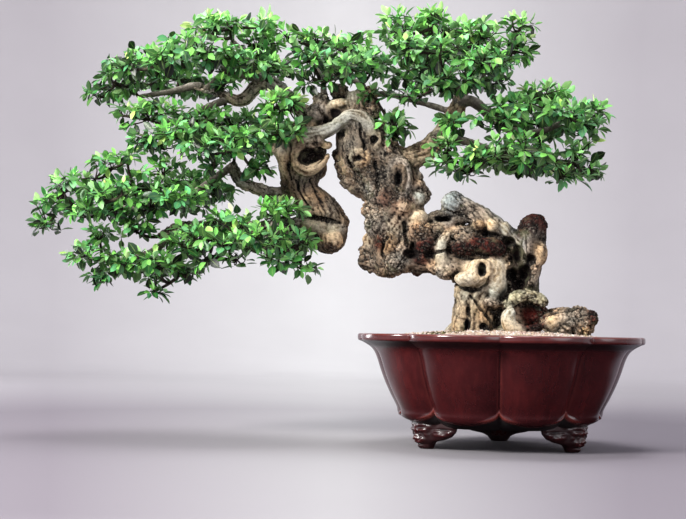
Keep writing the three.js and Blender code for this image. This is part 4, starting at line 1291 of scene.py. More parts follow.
@dataclass
class WoodField:
    """Distances to the wood's skin on a cube grid, negative inside.

    Attributes:
        low: Lowest corner of the grid.
        high: Highest corner.
        pitch: Side of a cube.
        far: Distance that stands for empty space.
        values: The distance at each corner of the cubes.
    """

    low: Array
    high: Array
    pitch: float
    far: float = 30.0
    values: Array = field(init=False)

    def __post_init__(self) -> None:
        """Start with empty space."""
        count = np.ceil((self.high - self.low) / self.pitch).astype(int) + 1
        self.values = np.full(count, self.far, np.float32)

    def window(self, low: Array, high: Array) -> tuple[tuple[slice, ...], Array]:
        """Part of the grid between two corners, as slices and as a list of places."""
        first = np.clip(np.floor((low - self.low) / self.pitch).astype(int), 0, None)
        last = np.minimum(np.ceil((high - self.low) / self.pitch).astype(int) + 1, self.values.shape)
        last = np.maximum(last, first)
        part = tuple(slice(a, b) for a, b in zip(first, last))
        axes = [self.low[k] + self.pitch * np.arange(first[k], last[k]) for k in range(3)]
        places = np.stack(np.meshgrid(*axes, indexing="ij"), axis=-1).reshape(-1, 3)
        return part, places.astype(np.float32)

    def add(self, part: tuple[slice, ...], reach: Array, blend: float) -> None:
        """Join a solid on: the smaller distance, lowered in the corner between the two."""
        old = self.values[part]
        new = reach.reshape(old.shape)
        near = np.maximum(blend - np.abs(old - new), 0.0) / blend
        self.values[part] = np.minimum(old, new) - near**2 * blend / 4

    def cut(self, part: tuple[slice, ...], reach: Array, blend: float) -> None:
        """Take a solid away: the larger of the distance and the solid's own with its sign turned."""
        old = self.values[part]
        new = -reach.reshape(old.shape)
        near = np.maximum(blend - np.abs(old - new), 0.0) / blend
        self.values[part] = np.maximum(old, new) + near**2 * blend / 4

    def at(self, places: Array) -> Array:
        """Distance at the grid corner nearest to each place; far away where there is no grid."""
        index = np.rint((places - self.low) / self.pitch).astype(int)
        inside = ((index >= 0) & (index < self.values.shape)).all(axis=1)
        found = np.full(len(places), self.far)
        found[inside] = self.values[tuple(index[inside].T)]
        return found

    def depth(self, x: Array, z: Array, side: Side) -> Array:
        """Where the skin lies along Y at each x and z, seen from the front or the back.

        Args:
            x: Places along X.
            z: Heights.
            side: From which side.

        Returns:
            Y for each place; where there is no wood, the middle value of the others.
        """
        column = np.rint((np.stack([x, z], axis=1) - self.low[[0, 2]]) / self.pitch).astype(int)
        inside = self.values[column[:, 0], :, column[:, 1]] < 0
        if side is Side.BACK:
            inside = inside[:, ::-1]
        steps = self.pitch * np.argmax(inside, axis=1)
        start = self.low[1] if side is Side.FRONT else self.low[1] + self.pitch * (inside.shape[1] - 1)
        found = inside.any(axis=1)
        y = start - side * steps
        return np.where(found, y, np.median(y[found]))

    def surface(self, left: float, right: float) -> Shape:
        """Wrap the zero distance in four-cornered faces ("surface nets").

        Each cube with corners on both sides of the skin gets one place, the mean of the points
        where its edges cross zero; each crossing edge of the grid joins the four cubes round it.

        Args:
            left: Lowest x of the wood that is kept.
            right: Highest x of it.

        Returns:
            The closed skin of that part.
        """
        x = self.low[0] + self.pitch * np.arange(self.values.shape[0])[:, None, None]
        values = np.maximum(self.values, np.maximum(left - x, x - right)).astype(np.float32)
        for axis in range(3):
            edge = np.moveaxis(values, axis, 0)
            edge[0], edge[-1] = np.maximum(edge[0], 0.5), np.maximum(edge[-1], 0.5)
        inside = values < 0
        shape = np.array(values.shape) - 1
        corners = list(itertools.product((0, 1), repeat=3))
        count = sum(
            inside[a : a + shape[0], b : b + shape[1], c : c + shape[2]].astype(np.int8)
            for a, b, c in corners
        )
        cells = np.argwhere((count > 0) & (count < 8))
        index = np.full(shape, -1, np.int64)
        index[tuple(cells.T)] = np.arange(len(cells))
        total, hits = np.zeros((len(cells), 3)), np.zeros(len(cells))
        for first, second in itertools.combinations(corners, 2):
            step = np.subtract(second, first)
            if np.abs(step).sum() != 1:
                continue
            start = values[tuple((cells + first).T)]
            end = values[tuple((cells + second).T)]
            crossed = (start < 0) != (end < 0)
            share = np.where(crossed, start / np.where(crossed, start - end, 1.0), 0.0)
            total += np.where(crossed[:, None], np.array(first) + share[:, None] * step, 0.0)
            hits += crossed
        places = self.low + self.pitch * (cells + total / hits[:, None])
        faces = []
        for axis in range(3):
            ahead, u, v = (np.eye(3, dtype=int)[(axis + k) % 3] for k in range(3))
            here = inside[: shape[0], : shape[1], : shape[2]]
            there = inside[ahead[0] :, ahead[1] :, ahead[2] :][: shape[0], : shape[1], : shape[2]]
            spots = np.argwhere(here != there)
            spots = spots[(spots[:, (axis + 1) % 3] > 0) & (spots[:, (axis + 2) % 3] > 0)]
            ring = [index[tuple((spots - back).T)] for back in (0 * u, u, u + v, v)]
            outward = here[tuple(spots.T)][:, None]
            faces.append(np.where(outward, np.stack(ring, axis=1), np.stack(ring[::-1], axis=1)))
        return Shape(places, np.concatenate(faces))


@dataclass
class Tree:
    """The wood: a field of limbs, burls, lips and holes for the trunk, and tubes for branches.

    Attributes:
        low: Lowest corner of the field.
        high: Its highest corner.
        pitch: Side of one of its cubes.
        cuts: Where the trunk is cut into parts along X.
        part_names: The parts' names.
        overlap: How far a part reaches past a cut.
        limb_blend: Width of the fillet between limbs.
        limb_spare: Room left round a limb beyond its fillet.
        burl_blend: Width of the fillet round burls and lips.
        hole_spare: Room left round a hole beyond its rounded edge.
        groove_blend: Width of the rounding of a groove's edges.
        groove_reach: How far from a groove its painted shade can reach.
        path_step: Length of a step along a limb.
        paint_reach: How far from a solid its kind of bark can show.
        limb_fade: Distance in which a limb's kind of bark falls to a third.
        burl_fade: The same for a burl.
        lip_fade: The same for a lip.
        burl_weight: How much a burl's kind counts against a limb's.
        lip_weight: How much a lip's counts.
        scatter_seed: Seed of the scattered burls.
        widest_girth: Largest limb radius that a scattered burl's size follows.
        burl_shares: Least and greatest size of one, as a share of that radius.
        burl_stretch: Least and greatest stretch along each axis.
        cast_seed: Seed of the burls' casts.
        plate_width: Width of a large plate of crust.
        scale_width: Width of a small one on it.
        pit_gap: Distance between neighbouring pits.
        shelter_levels: Heights over the skin where wood is looked for, and how much each counts, for the
            painted shade in crevices.
        contrast: Power to which the colours are raised, which deepens the dark places.
        gain: What they are multiplied with after that.
        branch_step: Length of a step along a thin branch.
        branch_sides: Places in a ring round one.
        wood: The field.
        paths: The limbs' steps, [x, y, z, radius] each.
        burls: Kind and numbers of each burl, first those of the table, then the scattered ones.
        grooves: The grooves' steps, as for the limbs.
    """

    low: Place = (-550.0, -70.0, 96.0)
    high: Place = (162.0, 124.0, 592.0)
    pitch: float = 1.98
    cuts: tuple[float, ...] = (-1e4, -238.0, -100.0, 1e4)
    part_names: tuple[str, ...] = ("hanging_trunk_and_boughs", "burled_column", "root_flare")
    overlap: float = 3.0
    limb_blend: float = 7.0
    limb_spare: float = 5.0
    burl_blend: float = 2.4
    hole_spare: float = 2.0
    groove_blend: float = 2.0
    groove_reach: float = 4.0
    path_step: float = 7.0
    paint_reach: float = 12.0
    limb_fade: float = 2.6
    burl_fade: float = 2.0
    lip_fade: float = 1.6
    burl_weight: float = 1.6
    lip_weight: float = 3.0
    scatter_seed: int = 9
    widest_girth: float = 34.0
    burl_shares: tuple[float, float] = (0.2, 0.52)
    burl_stretch: tuple[float, float] = (0.75, 1.3)
    cast_seed: int = 21
    plate_width: float = 13.0
    scale_width: float = 6.2
    pit_gap: float = 6.4
    shelter_levels: Outline = ((6.0, 0.3), (11.0, 0.4), (20.0, 0.3))
    contrast: float = 1.16
    gain: float = 1.07
    branch_step: float = 4.0
    branch_sides: int = 12
    wood: WoodField = field(init=False)
    paths: dict[str, Array] = field(init=False)
    burls: list[tuple[Bark, Array]] = field(init=False)
    grooves: list[Array] = field(init=False)

    def __post_init__(self) -> None:
        """Fill the field with the solids, and take the holes and grooves away."""
        self.paths = {
            name: smooth_path(np.array(points, float), self.path_step)
            for name, (_, points) in LIMBS.items()
        }
        self.burls = [(kind, np.array(burl, float)) for kind, burl in BURLS] + self.scattered()
        self.wood = WoodField(np.array(self.low), np.array(self.high), self.pitch)
        for path in self.paths.values():
            part, places = self.around(path[:, :3], path[:, 3].max() + self.limb_blend + self.limb_spare)
            self.wood.add(part, limb_reach(places, path)[0], self.limb_blend)
        for _, lump in self.burls:
            part, places = self.around(lump[None, :3], lump[3:].max() + self.burl_blend)
            self.wood.add(part, lump_reach(places, lump), self.burl_blend)
        for _, numbers in LIPS:
            lip = np.array(numbers, float)
            part, places = self.around(lip[None, :3], lip[3:].max() + lip[5] + self.burl_blend)
            self.wood.add(part, lip_reach(places, lip), self.burl_blend)
        self.grooves = [self.draped(side, points, i) for i, (side, points) in enumerate(GROOVES)]
        for _, blend, numbers in HOLES:
            hole = np.array(numbers, float)
            part, places = self.around(hole[None, :3], hole[3:].max() + blend + self.hole_spare)
            self.wood.cut(part, self.ragged(places, hole), blend)
        for path in self.grooves:
            part, places = self.around(path[:, :3], path[:, 3].max() + self.groove_blend)
            self.wood.cut(part, limb_reach(places, path)[0], self.groove_blend)

    def draped(self, side: Side, points: Points, seed: int) -> Array:
        """Lay a groove on the skin, with a wandering course and an uneven width.

        Args:
            side: The side that it lies on.
            points: [x, z, radius] along it.
            seed: Which random wandering.

        Returns:
            Its steps, [x, y, z, radius]. The middle lies a third of the radius under the skin.
        """
        x, z, radius = smooth_path(np.array(points, float), self.path_step / 2).T
        spots = np.stack([x, z, 0 * x], axis=1)
        x = x + 2.2 * waves(spots, 9.0, 200 + seed)
        radius = radius * (1.0 + 0.4 * waves(spots, 8.0, 240 + seed))
        y = self.wood.depth(x, z, side) - side * radius / 3
        y = np.convolve(np.pad(y, 1, "edge"), [0.25, 0.5, 0.25], "valid")
        return np.stack([x, y, z, radius], axis=1)

    @staticmethod
    def ragged(places: Array, hole: Array) -> Array:
        """Distance to a hole with an uneven rim."""
        return lump_reach(places, hole) + 1.7 * rough(places, 7.5, 35, 2)

    def around(self, points: Array, margin: float) -> tuple[tuple[slice, ...], Array]:
        """The window of the field that holds points with a margin."""
        return self.wood.window(points.min(axis=0) - margin, points.max(axis=0) + margin)

    def scattered(self) -> list[tuple[Bark, Array]]:
        """Draw small burls at random on the limbs' skins, clear of the plain places.

        Returns:
            Each burl's kind of bark and its [x, y, z, half width, half depth, half height].
        """
        rng = np.random.default_rng(self.scatter_seed)
        found = []
        for name, (count, kinds) in SCATTER.items():
            picks = self.paths[name][rng.integers(0, len(self.paths[name]), count)]
            out = unit(rng.normal(size=(count, 3)))
            girth = np.minimum(picks[:, 3:], self.widest_girth)
            halves = girth * rng.uniform(*self.burl_shares, (count, 1))
            halves = halves * rng.uniform(*self.burl_stretch, (count, 3))
            centres = picks[:, :3] + out * (picks[:, 3:] - 0.4 * halves.mean(axis=1, keepdims=True))
            away = np.linalg.norm(centres[:, None] - CLEAR[None, :, :3], axis=2) > CLEAR[:, 3]
            for i in np.flatnonzero(away.all(axis=1)):
                kind = kinds[int(rng.integers(0, len(kinds)))]
                found.append((kind, np.concatenate([centres[i], halves[i]])))
        return found

    @staticmethod
    def beside(places: Array, path: Array, reach: float) -> Array:
        """Which of the places lie in the box round a limb's skin, widened by the reach."""
        margin = path[:, 3].max() + reach
        low, high = path[:, :3].min(axis=0) - margin, path[:, :3].max(axis=0) + margin
        return np.flatnonzero(((places > low) & (places < high)).all(axis=1))

    @staticmethod
    def pull(reach: Array, fade: float, deepest: float = 6.0) -> Array:
        """How much a solid counts at a distance: e to the minus distance over the fade."""
        return np.exp(-np.maximum(reach, -deepest) / fade)

    def weights(self, places: Array) -> tuple[Array, Array, Array, Array]:
        """Tell which kinds of bark meet at each place, how its fibres run, and how deep in a groove it
        lies.

        Fibres are waves in a limb's own coordinates, which are its angle at its mean radius and a
        sixth of the length along it.
        Each burl has a cast of its own, which is how much lighter and how much warmer it is.

        Args:
            places: Points on the skin.

        Returns:
            Shares of the kinds, (N, kinds), fibre heights from -1 to 1, how deep in a groove each
            place lies from 0 to 1, and casts up to 1, (N, 2).
        """
        kinds = list(Bark)
        shares = np.full((len(places), len(kinds)), 1e-9)
        fibres, fibre_weight = np.zeros(len(places)), np.full(len(places), 1e-9)
        own = np.random.default_rng(self.cast_seed).uniform([-1, -0.6], 1, (len(self.burls), 2))
        casts = np.zeros((len(places), 2))
        for i, (name, (kind, _)) in enumerate(LIMBS.items()):
            path = self.paths[name]
            near = self.beside(places, path, self.paint_reach)
            reach, along, angle = limb_reach(places[near], path)
            weight = self.pull(reach, self.limb_fade)
            radius = path[:, 3].mean()
            turned = angle + along * 0.012
            grain = np.stack([np.cos(turned) * radius, np.sin(turned) * radius, along / 6.0], axis=1)
            height = 1.0 - 2.4 * np.abs(rough(grain, 5.5, 40 + i, 2))
            shares[near, kinds.index(kind)] += weight
            fibres[near] += weight * height
            fibre_weight[near] += weight
        for (kind, lump), cast in zip(self.burls, own):
            near = np.flatnonzero((np.abs(places - lump[:3]) < lump[3:] + self.paint_reach).all(axis=1))
            weight = self.pull(lump_reach(places[near], lump), self.burl_fade) * self.burl_weight
            shares[near, kinds.index(kind)] += weight
            casts[near] += weight[:, None] * cast
        for kind, numbers in LIPS:
            lip = np.array(numbers, float)
            near = np.flatnonzero((np.abs(places - lip[:3]) < lip[3:].max() * 3).all(axis=1))
            weight = self.pull(lip_reach(places[near], lip), self.lip_fade, 4.0) * self.lip_weight
            shares[near, kinds.index(kind)] += weight
        casts /= shares.sum(axis=1, keepdims=True)
        shares /= shares.sum(axis=1, keepdims=True)
        for kind, _, numbers in HOLES:
            hole = np.array(numbers, float)
            near = np.flatnonzero((np.abs(places - hole[:3]) < hole[3:] + 4.0).all(axis=1))
            inside = 1.0 - ease(self.ragged(places[near], hole), 0.3, 2.2)
            shares[near] *= 1.0 - inside[:, None]
            shares[near, kinds.index(kind)] += inside
        in_groove = np.zeros(len(places))
        for path in self.grooves:
            near = self.beside(places, path, self.groove_reach)
            reach = limb_reach(places[near], path)[0]
            in_groove[near] = np.maximum(in_groove[near], 1.0 - ease(reach, -0.8, 1.2))
        return shares, fibres / fibre_weight, in_groove, casts

    def shelter(self, places: Array, normals: Array) -> Array:
        """How much the wood closes in over each place, from 0 in the open to 1 in a crevice; it sets
        painted shade.

        At three heights over the skin, the distance to the nearest wood is compared with the
        height itself; what it falls short of it counts.
        """
        return sum(
            weight * np.clip(1.0 - (self.wood.at(places + normals * height) + 1.5) / height, 0.0, 1.0)
            for height, weight in self.shelter_levels
        )

    def weathered(self, skin: Shape) -> Shape:
        """Roughen and colour the smooth skin.

        Heights along the normals are the sum of broad waves, fibres, crusts of two sizes (a
        pebble's height falls with the distance from its seed, and a crack runs where two seeds
        are equally near) and pits, each times its kind's amount. The colour is the kinds' own,
        lighter on raised places as painted light, times a painted shade that darkens cracks,
        grooves, hollows, crevices that the wood closes over and downward-facing skin, raised to a
        power just over one, which deepens the dark places.

        Args:
            skin: The skin from the field.

        Returns:
            The same skin with its final places, colours and marks.
        """
        skin.places = skin.relaxed(skin.places, 1)
        places = skin.places
        shares, fibres, in_groove, casts = self.weights(places)
        fibre, crust, pits = (shares @ Bark.table(name) for name in ("fibre", "crust", "pits"))
        patchy = ease(waves(places, 23.0, 71) + 0.4 * waves(places, 10.0, 72), -0.6, 0.5)
        crust = crust * (0.2 + 0.95 * patchy)
        warped = places + 4.0 * np.stack([waves(places, 13.0, 80 + k) for k in range(3)], axis=1)
        near, second, tone = pebbled(warped, self.plate_width, 11)
        small_near, small_second, small_tone = pebbled(warped, self.scale_width, 15)
        cracks = 1.0 - ease(second - near, 0.0, 0.26)
        small_cracks = 1.0 - ease(small_second - small_near, 0.0, 0.3)
        dips = 1.0 - ease(pebbled(places, self.pit_gap, 21)[0], 0.12, 0.46)
        broad = 1.9 * waves(places, 21.0, 1) + 1.1 * waves(places, 9.5, 2)
        height = broad * (0.3 + 0.7 * np.clip(crust / 1.5, 0, 1)) + 0.3 * rough(places, 4.2, 31, 2)
        height += 0.85 * fibre * fibres - pits * dips - 1.5 * in_groove
        height += crust * (1.15 - 0.9 * near - 0.7 * cracks - 0.95 * small_near - 0.5 * small_cracks)
        height = np.clip(height, -5.0, 4.0)
        normals = skin.normals()
        skin.places = places + normals * height[:, None]
        hollow = height - skin.relaxed(height, 6)
        light, dark = shares @ Bark.table("light"), shares @ Bark.table("dark")
        blotch = ease(rough(places, 19.0, 51, 3), -0.8, 0.5)
        # Painted light and shade: raised places lighter, hollows darker
        lit = ease(0.45 * blotch + 0.55 * ease(hollow, -1.0, 0.3), 0.1, 0.85)
        lit = np.clip(lit - 0.35 * (1 - ease(fibres, -0.8, 0.4)) * np.clip(fibre, 0, 1), 0, 1)
        tint = dark + (light - dark) * lit[:, None]
        speckle = np.clip(crust / 2.0, 0, 1) * (0.7 * (tone - 0.5) + 0.7 * (small_tone - 0.5))
        tint *= (1.0 + speckle + 0.22 * casts[:, 0])[:, None]
        warm = 0.15 * waves(places, 26.0, 61) + 0.1 * np.clip(crust / 2.0, 0, 1) * (tone - 0.5)
        warm = warm + 0.1 * casts[:, 1]
        tint *= np.stack([1 + warm, 1 + 0 * warm, 1 - warm], axis=1)
        # Painted shade in cracks, grooves, hollows, closed-in crevices and on downward-facing skin
        deep = np.maximum(np.maximum(cracks, 0.7 * small_cracks) * np.clip(crust / 1.6, 0, 1), in_groove)
        shade = (1 - 0.8 * deep) * (0.22 + 0.78 * ease(hollow, -1.8, 0.1))
        shade *= 1.0 - 0.9 * ease(self.shelter(places, normals), 0.1, 0.75)
        shade *= 0.8 + 0.25 * ease(skin.normals()[:, 2], -0.6, 0.8)
        shaded = np.clip(tint * shade[:, None], 0.004, 1)
        skin.tint = np.minimum(self.gain * shaded**self.contrast, 1)
        skin.marks = np.clip(np.stack([fibre / 1.7, crust / 2.6, pits / 2.4], axis=1), 0, 1)
        return skin

    def branches(self) -> Shape:
        """Tubes with knots for the thin branches, dark brown with painted light on their tops."""
        shapes = []
        for i, points in enumerate(BRANCHES.values()):
            path = smooth_path(np.array(points, float), self.branch_step)
            knots = 1.0 + 0.16 * waves(path[:, :3], 9.0, 60 + i) + 0.1 * waves(path[:, :3], 4.5, 90 + i)
            shapes.append(tubes(path[None, :, :3], (path[:, 3] * knots)[None], self.branch_sides))
        whole = Shape.joined(shapes)
        normals = whole.normals()
        bumps = rough(whole.places, 4.5, 70, 2)
        whole.places = whole.places + normals * (0.45 * bumps)[:, None]
        dark, light = Bark.GREY.value.dark, Bark.GREY.value.light
        # Painted light: upward-facing skin lighter
        share = 0.1 + 0.8 * ease(normals[:, 2:], -0.4, 0.9) * ease(bumps, -0.9, 0.7)[:, None]
        whole.tint = np.array(dark) * 0.7 + (np.array(light) - np.array(dark)) * share
        whole.marks = np.full((len(whole.places), 3), 0.15)
        return whole

    def build(self, finish: BarkFinish) -> bpy.types.Material:
        """Make the trunk's overlapping parts and the branches; give their material back."""
        bark = finish.material()
        for name, left, right in zip(self.part_names, self.cuts, self.cuts[1:]):
            part = self.weathered(self.wood.surface(left - self.overlap, right + self.overlap))
            part.to_piece(name, bark, "bark", ["trunk"])
        self.branches().to_piece("branches", bark, "bark", ["trunk"])
        return bark

    def holds(self) -> Array:
        """Places along the boughs and branches from which twigs start: [x, y, z, radius]."""
        thin = [smooth_path(np.array(points, float), self.path_step) for points in BRANCHES.values()]
        thick = [path for name, path in self.paths.items() if "bough" in name]
        return np.vstack([*thick, *thin])


@dataclass(frozen=True)
class LeafColours:
    """Colours of the leaves by age and side."""

    deep: Colour = paint(46, 116, 50)
    green: Colour = paint(118, 190, 86)
    young: Colour = paint(206, 232, 124)
    cool: Colour = paint(98, 174, 122)
    under: Colour = paint(170, 205, 150)


@dataclass
class LeafPad:
    """One layered cloud of leafy shoots in the place of one CAD node.

    Attributes:
        node: The CAD node that it replaces.
        seed: Start of its random draws.
        gap: Distance between neighbouring shoots.
        leaf_length: Usual length of a leaf's blade.
        leaves: Leaves on a shoot.
        missing: Share of the leaves that have dropped.
        stalk: Length of a leaf's stalk.
        spread: Angle between shoot and leaf at the tip, and what the oldest leaf adds, in degrees.
        sink: How far a shoot's foot lies under the cloud's surface.
        top_sink: How much deeper it lies on top.
        lowest_slope: Z of a direction from which the surface counts as the underside.
        under_share: Share of the shoots on the underside that are kept.
        draws_per_shoot: Places tried for each square of the gap's side.
        shoots_per_fork: Shoots on one fork of the twigs.
        fork_girth: Radius of the twig to a fork, at its start and at its end.
        twig_girth: The same of the twig to a shoot.
        stations: Places along a leaf, from 0 at the stalk's foot to 1 at the tip.
        half_widths: Half width of the blade there, as a share of its length.
        rng: Its random draws.
    """

    node: str
    seed: int
    gap: float = 18.7
    leaf_length: float = 20.0
    leaves: int = 6
    missing: float = 0.08
    stalk: float = 3.5
    spread: tuple[float, float] = (24.0, 56.0)
    sink: float = 8.0
    top_sink: float = 9.0
    lowest_slope: float = -0.3
    under_share: float = 0.5
    draws_per_shoot: int = 5
    shoots_per_fork: int = 9
    fork_girth: tuple[float, float] = (3.2, 1.9)
    twig_girth: tuple[float, float] = (1.35, 0.6)
    stations: tuple[float, ...] = (0.0, 0.15, 0.33, 0.57, 0.82, 1.0)
    half_widths: tuple[float, ...] = (0.0, 0.03, 0.21, 0.295, 0.19, 0.0)
    rng: np.random.Generator = field(init=False)

    def __post_init__(self) -> None:
        """Start the random draws."""
        self.rng = np.random.default_rng(self.seed)

    def sites(self) -> tuple[Array, Array]:
        """Scatter shoots over the CAD cloud's surface, evenly by area, at least the gap apart.

        Returns:
            Where the shoots' tips stand, and which way the surface faces there.
        """
        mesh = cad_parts[self.node].data
        mesh.calc_loop_triangles()
        corners = np.zeros(3 * len(mesh.loop_triangles), np.int32)
        mesh.loop_triangles.foreach_get("vertices", corners)
        flat = np.zeros(3 * len(mesh.vertices), np.float32)
        mesh.vertices.foreach_get("co", flat)
        places = (flat.reshape(-1, 3).astype(float) - POT_AXIS) / MM
        first, second, third = (places[corners[k::3]] for k in range(3))
        across = np.cross(second - first, third - first)
        area = np.linalg.norm(across, axis=1) / 2
        draws = int(area.sum() / (self.gap**2) * self.draws_per_shoot)
        pick = self.rng.choice(len(area), draws, p=area / area.sum())
        u, v = self.rng.random((2, draws, 1))
        u, v = np.where(u + v > 1, 1 - u, u), np.where(u + v > 1, 1 - v, v)
        points = first[pick] + u * (second - first)[pick] + v * (third - first)[pick]
        normals = unit(across[pick])
        wanted = (normals[:, 2] > self.lowest_slope) | (self.rng.random(draws) < self.under_share)
        points, normals = points[wanted], normals[wanted]
        free = np.ones(len(points), bool)
        kept = []
        for i in range(len(points)):
            if free[i]:
                kept.append(i)
                free &= np.linalg.norm(points - points[i], axis=1) > self.gap
        return points[kept], normals[kept]

    def shoots(self) -> tuple[Array, Array, Array]:
        """Bases and directions of the shoots, and how much each stands on the pad's top, 0 to 1.

        A shoot on top grows up and outwards; one on the underside grows outwards and droops.
        """
        points, normals = self.sites()
        middle = points.mean(axis=0)
        outward = unit((points - middle) * [1, 1, 0])
        jitter = self.rng.normal(0, 0.22, points.shape)
        top = ease(normals[:, 2:], -0.35, 0.25)
        rising = 0.55 * normals + 0.6 * UP + 0.25 * outward
        hanging = 0.8 * outward + 0.35 * normals - 0.1 * UP
        directions = unit(top * rising + (1 - top) * hanging + jitter)
        depth = self.sink + self.top_sink * ease(normals[:, 2:], 0.2, 0.9)
        depth = depth + self.rng.random((len(points), 1)) * 8.0
        return points - normals * depth, directions, top[:, 0]

    def leaf_frames(self, bases: Array, directions: Array) -> tuple[Array, ...]:
        """Stand leaves round the shoots in a spiral, the outer ones flatter and longer.

        Args:
            bases: Feet of the shoots.
            directions: Directions of the shoots.

        Returns:
            Leaf feet, leaf directions, the directions their tops face, lengths, the shoot that
            each leaf stands on, and its age from 0 at the tip of a shoot to 1 at its foot.
        """
        count = len(bases)
        order = np.arange(self.leaves)[None, :]
        age = 1.0 - order / max(self.leaves - 1, 1)
        helper = np.where(np.abs(directions[:, 2:]) < 0.85, [[0.0, 0, 1]], [[1.0, 0, 0]])
        side = unit(np.cross(directions, helper))
        rise = np.cross(side, directions)
        turn = GOLDEN_ANGLE * order + self.rng.random((count, 1)) * 2 * np.pi
        turn = turn + self.rng.normal(0, 0.25, turn.shape)
        at_tip, added = self.spread
        spread = np.radians(at_tip + added * age + self.rng.normal(0, 9, turn.shape))
        ring = np.cos(turn)[..., None] * side[:, None] + np.sin(turn)[..., None] * rise[:, None]
        heads = np.cos(spread)[..., None] * directions[:, None] + np.sin(spread)[..., None] * ring
        heads[..., 2] -= 0.16 * age + self.rng.random(turn.shape) * 0.12
        heads = unit(heads)
        feet = bases[:, None] + directions[:, None] * (2.0 + 9.0 * (1 - age))[..., None]
        light = 0.6 * directions[:, None] + 0.55 * UP + self.rng.normal(0, 0.22, heads.shape)
        tops = unit(light - (light * heads).sum(axis=-1, keepdims=True) * heads)
        length = self.leaf_length * (0.66 + 0.34 * age) * self.rng.uniform(0.78, 1.2, turn.shape)
        keep = self.rng.random(turn.shape) > self.missing
        shoot = np.broadcast_to(np.arange(count)[:, None], keep.shape)
        age = np.broadcast_to(age, keep.shape)
        return feet[keep], heads[keep], tops[keep], length[keep], shoot[keep], age[keep]

    def blades(self, feet: Array, heads: Array, tops: Array, length: Array, colour: Array) -> Shape:
        """Build every leaf as a thin closed blade with a stalk, folded along its midrib.

        Stations along the leaf carry a left edge, a right edge and the midrib's top and underside;
        the first and last station are single points. Height over the leaf's plane is the fold
        times the distance from the midrib, less the droop times the squared share of the length.

        Args:
            feet: Where the stalks start.
            heads: Which way the leaves point.
            tops: Which way their upper sides face.
            length: Blade lengths.
            colour: The colour of each leaf's upper side.

        Returns:
            All the leaves as one shape, with a colour a face.
        """
        count, inner = len(feet), len(self.stations) - 2
        across = np.cross(tops, heads)
        fold = self.rng.uniform(0.12, 0.42, count)
        droop = self.rng.uniform(0.02, 0.26, count)
        wide = self.rng.uniform(0.86, 1.14, count)
        whole = length + self.stalk
        rows = []
        for share, half in zip(self.stations, self.half_widths):
            x = share * whole
            sag = -droop * whole * share**2
            y = half * length * wide
            if half == 0.0:
                rows.append((x, 0 * y, sag))
                continue
            rows += [(x, y, sag + fold * y), (x, -y, sag + fold * y)]
            rows += [(x, 0 * y, sag + 0.12), (x, 0 * y, sag - 0.38)]
        local = np.array([np.stack(row, axis=1) for row in rows]).transpose(1, 0, 2)
        places = feet[:, None] + local[..., :1] * heads[:, None] + local[..., 1:2] * across[:, None]
        places = places + local[..., 2:] * tops[:, None]
        tip = 4 * inner + 1
        above, below = [], []
        for k in range(inner):
            left, right, rib, keel = (4 * k + n for n in (1, 2, 3, 4))
            if k == 0:
                above += [(0, rib, left, -1), (0, right, rib, -1)]
                below += [(0, left, keel, -1), (0, keel, right, -1)]
            if k == inner - 1:
                above += [(rib, tip, left, -1), (right, tip, rib, -1)]
                below += [(left, tip, keel, -1), (keel, tip, right, -1)]
                continue
            above += [(rib, rib + 4, left + 4, left), (right, right + 4, rib + 4, rib)]
            below += [(left, left + 4, keel + 4, keel), (keel, keel + 4, right + 4, right)]
        one = np.array(above + below)
        faces = np.where(one < 0, -1, one + np.arange(count)[:, None, None] * (tip + 1))
        edge = np.isin((np.arange(tip + 1) - 1) % 4, (0, 1))
        edge[[0, tip]] = True
        chart_x = np.repeat(self.stations, [1] + [4] * inner + [1])
        chart_y = np.array([0.5] + [1.0, 0.0, 0.5, 0.5] * inner + [0.5])
        chart = np.tile(np.stack([chart_x, chart_y], axis=1), (count, 1))
        under = 0.5 * colour + 0.5 * np.array(LeafColours().under) * colour[:, 1:2] * 2.0
        sides = ((colour, len(above)), (under, len(below)))
        tint = np.concatenate([np.repeat(tone[:, None], number, axis=1) for tone, number in sides], axis=1)
        tint = np.clip(tint.reshape(-1, 3), 0, 1)
        return Shape(
            places.reshape(-1, 3), faces.reshape(-1, 4), tint, None, chart, np.tile(edge, count), True
        )

    def colours(self, height_share: Array, on_top: Array, age: Array) -> Array:
        """Colour each leaf by its place in the pad and on its shoot, and by chance.

        Args:
            height_share: How high it is in the pad, from 0 to 1.
            on_top: How much its shoot stands on the pad's top, from 0 to 1.
            age: 0 at the tip of a shoot to 1 at its foot.

        Returns:
            A colour for each leaf. Low, inner and old leaves get painted shade, and high leaves on the
            pad's top get painted light.
        """
        colours = LeafColours()
        count = len(age)
        chance = self.rng.random(count)
        youth = 0.1 + 0.4 * height_share + 0.25 * (1 - age) + self.rng.normal(0, 0.22, count)
        youth = np.clip(youth, 0, 1)[:, None]
        deep, green = np.array(colours.deep), np.array(colours.green)
        base = deep + (green - deep) * ease(youth, 0.0, 0.6)
        base = base + (np.array(colours.young) - base) * ease(youth, 0.68, 1.2)
        base = np.where(chance[:, None] < 0.25, 0.4 * base + 0.6 * np.array(colours.cool), base)
        # Painted light and shade: high, top and outer leaves lighter, low, inner and old ones darker
        tone = 0.1 + 0.3 * height_share + 0.5 * on_top + 1.05 * (1 - age) ** 1.4
        tone = tone + self.rng.normal(0, 0.26, count)
        return base * np.clip(tone, 0.04, 2.4)[:, None]

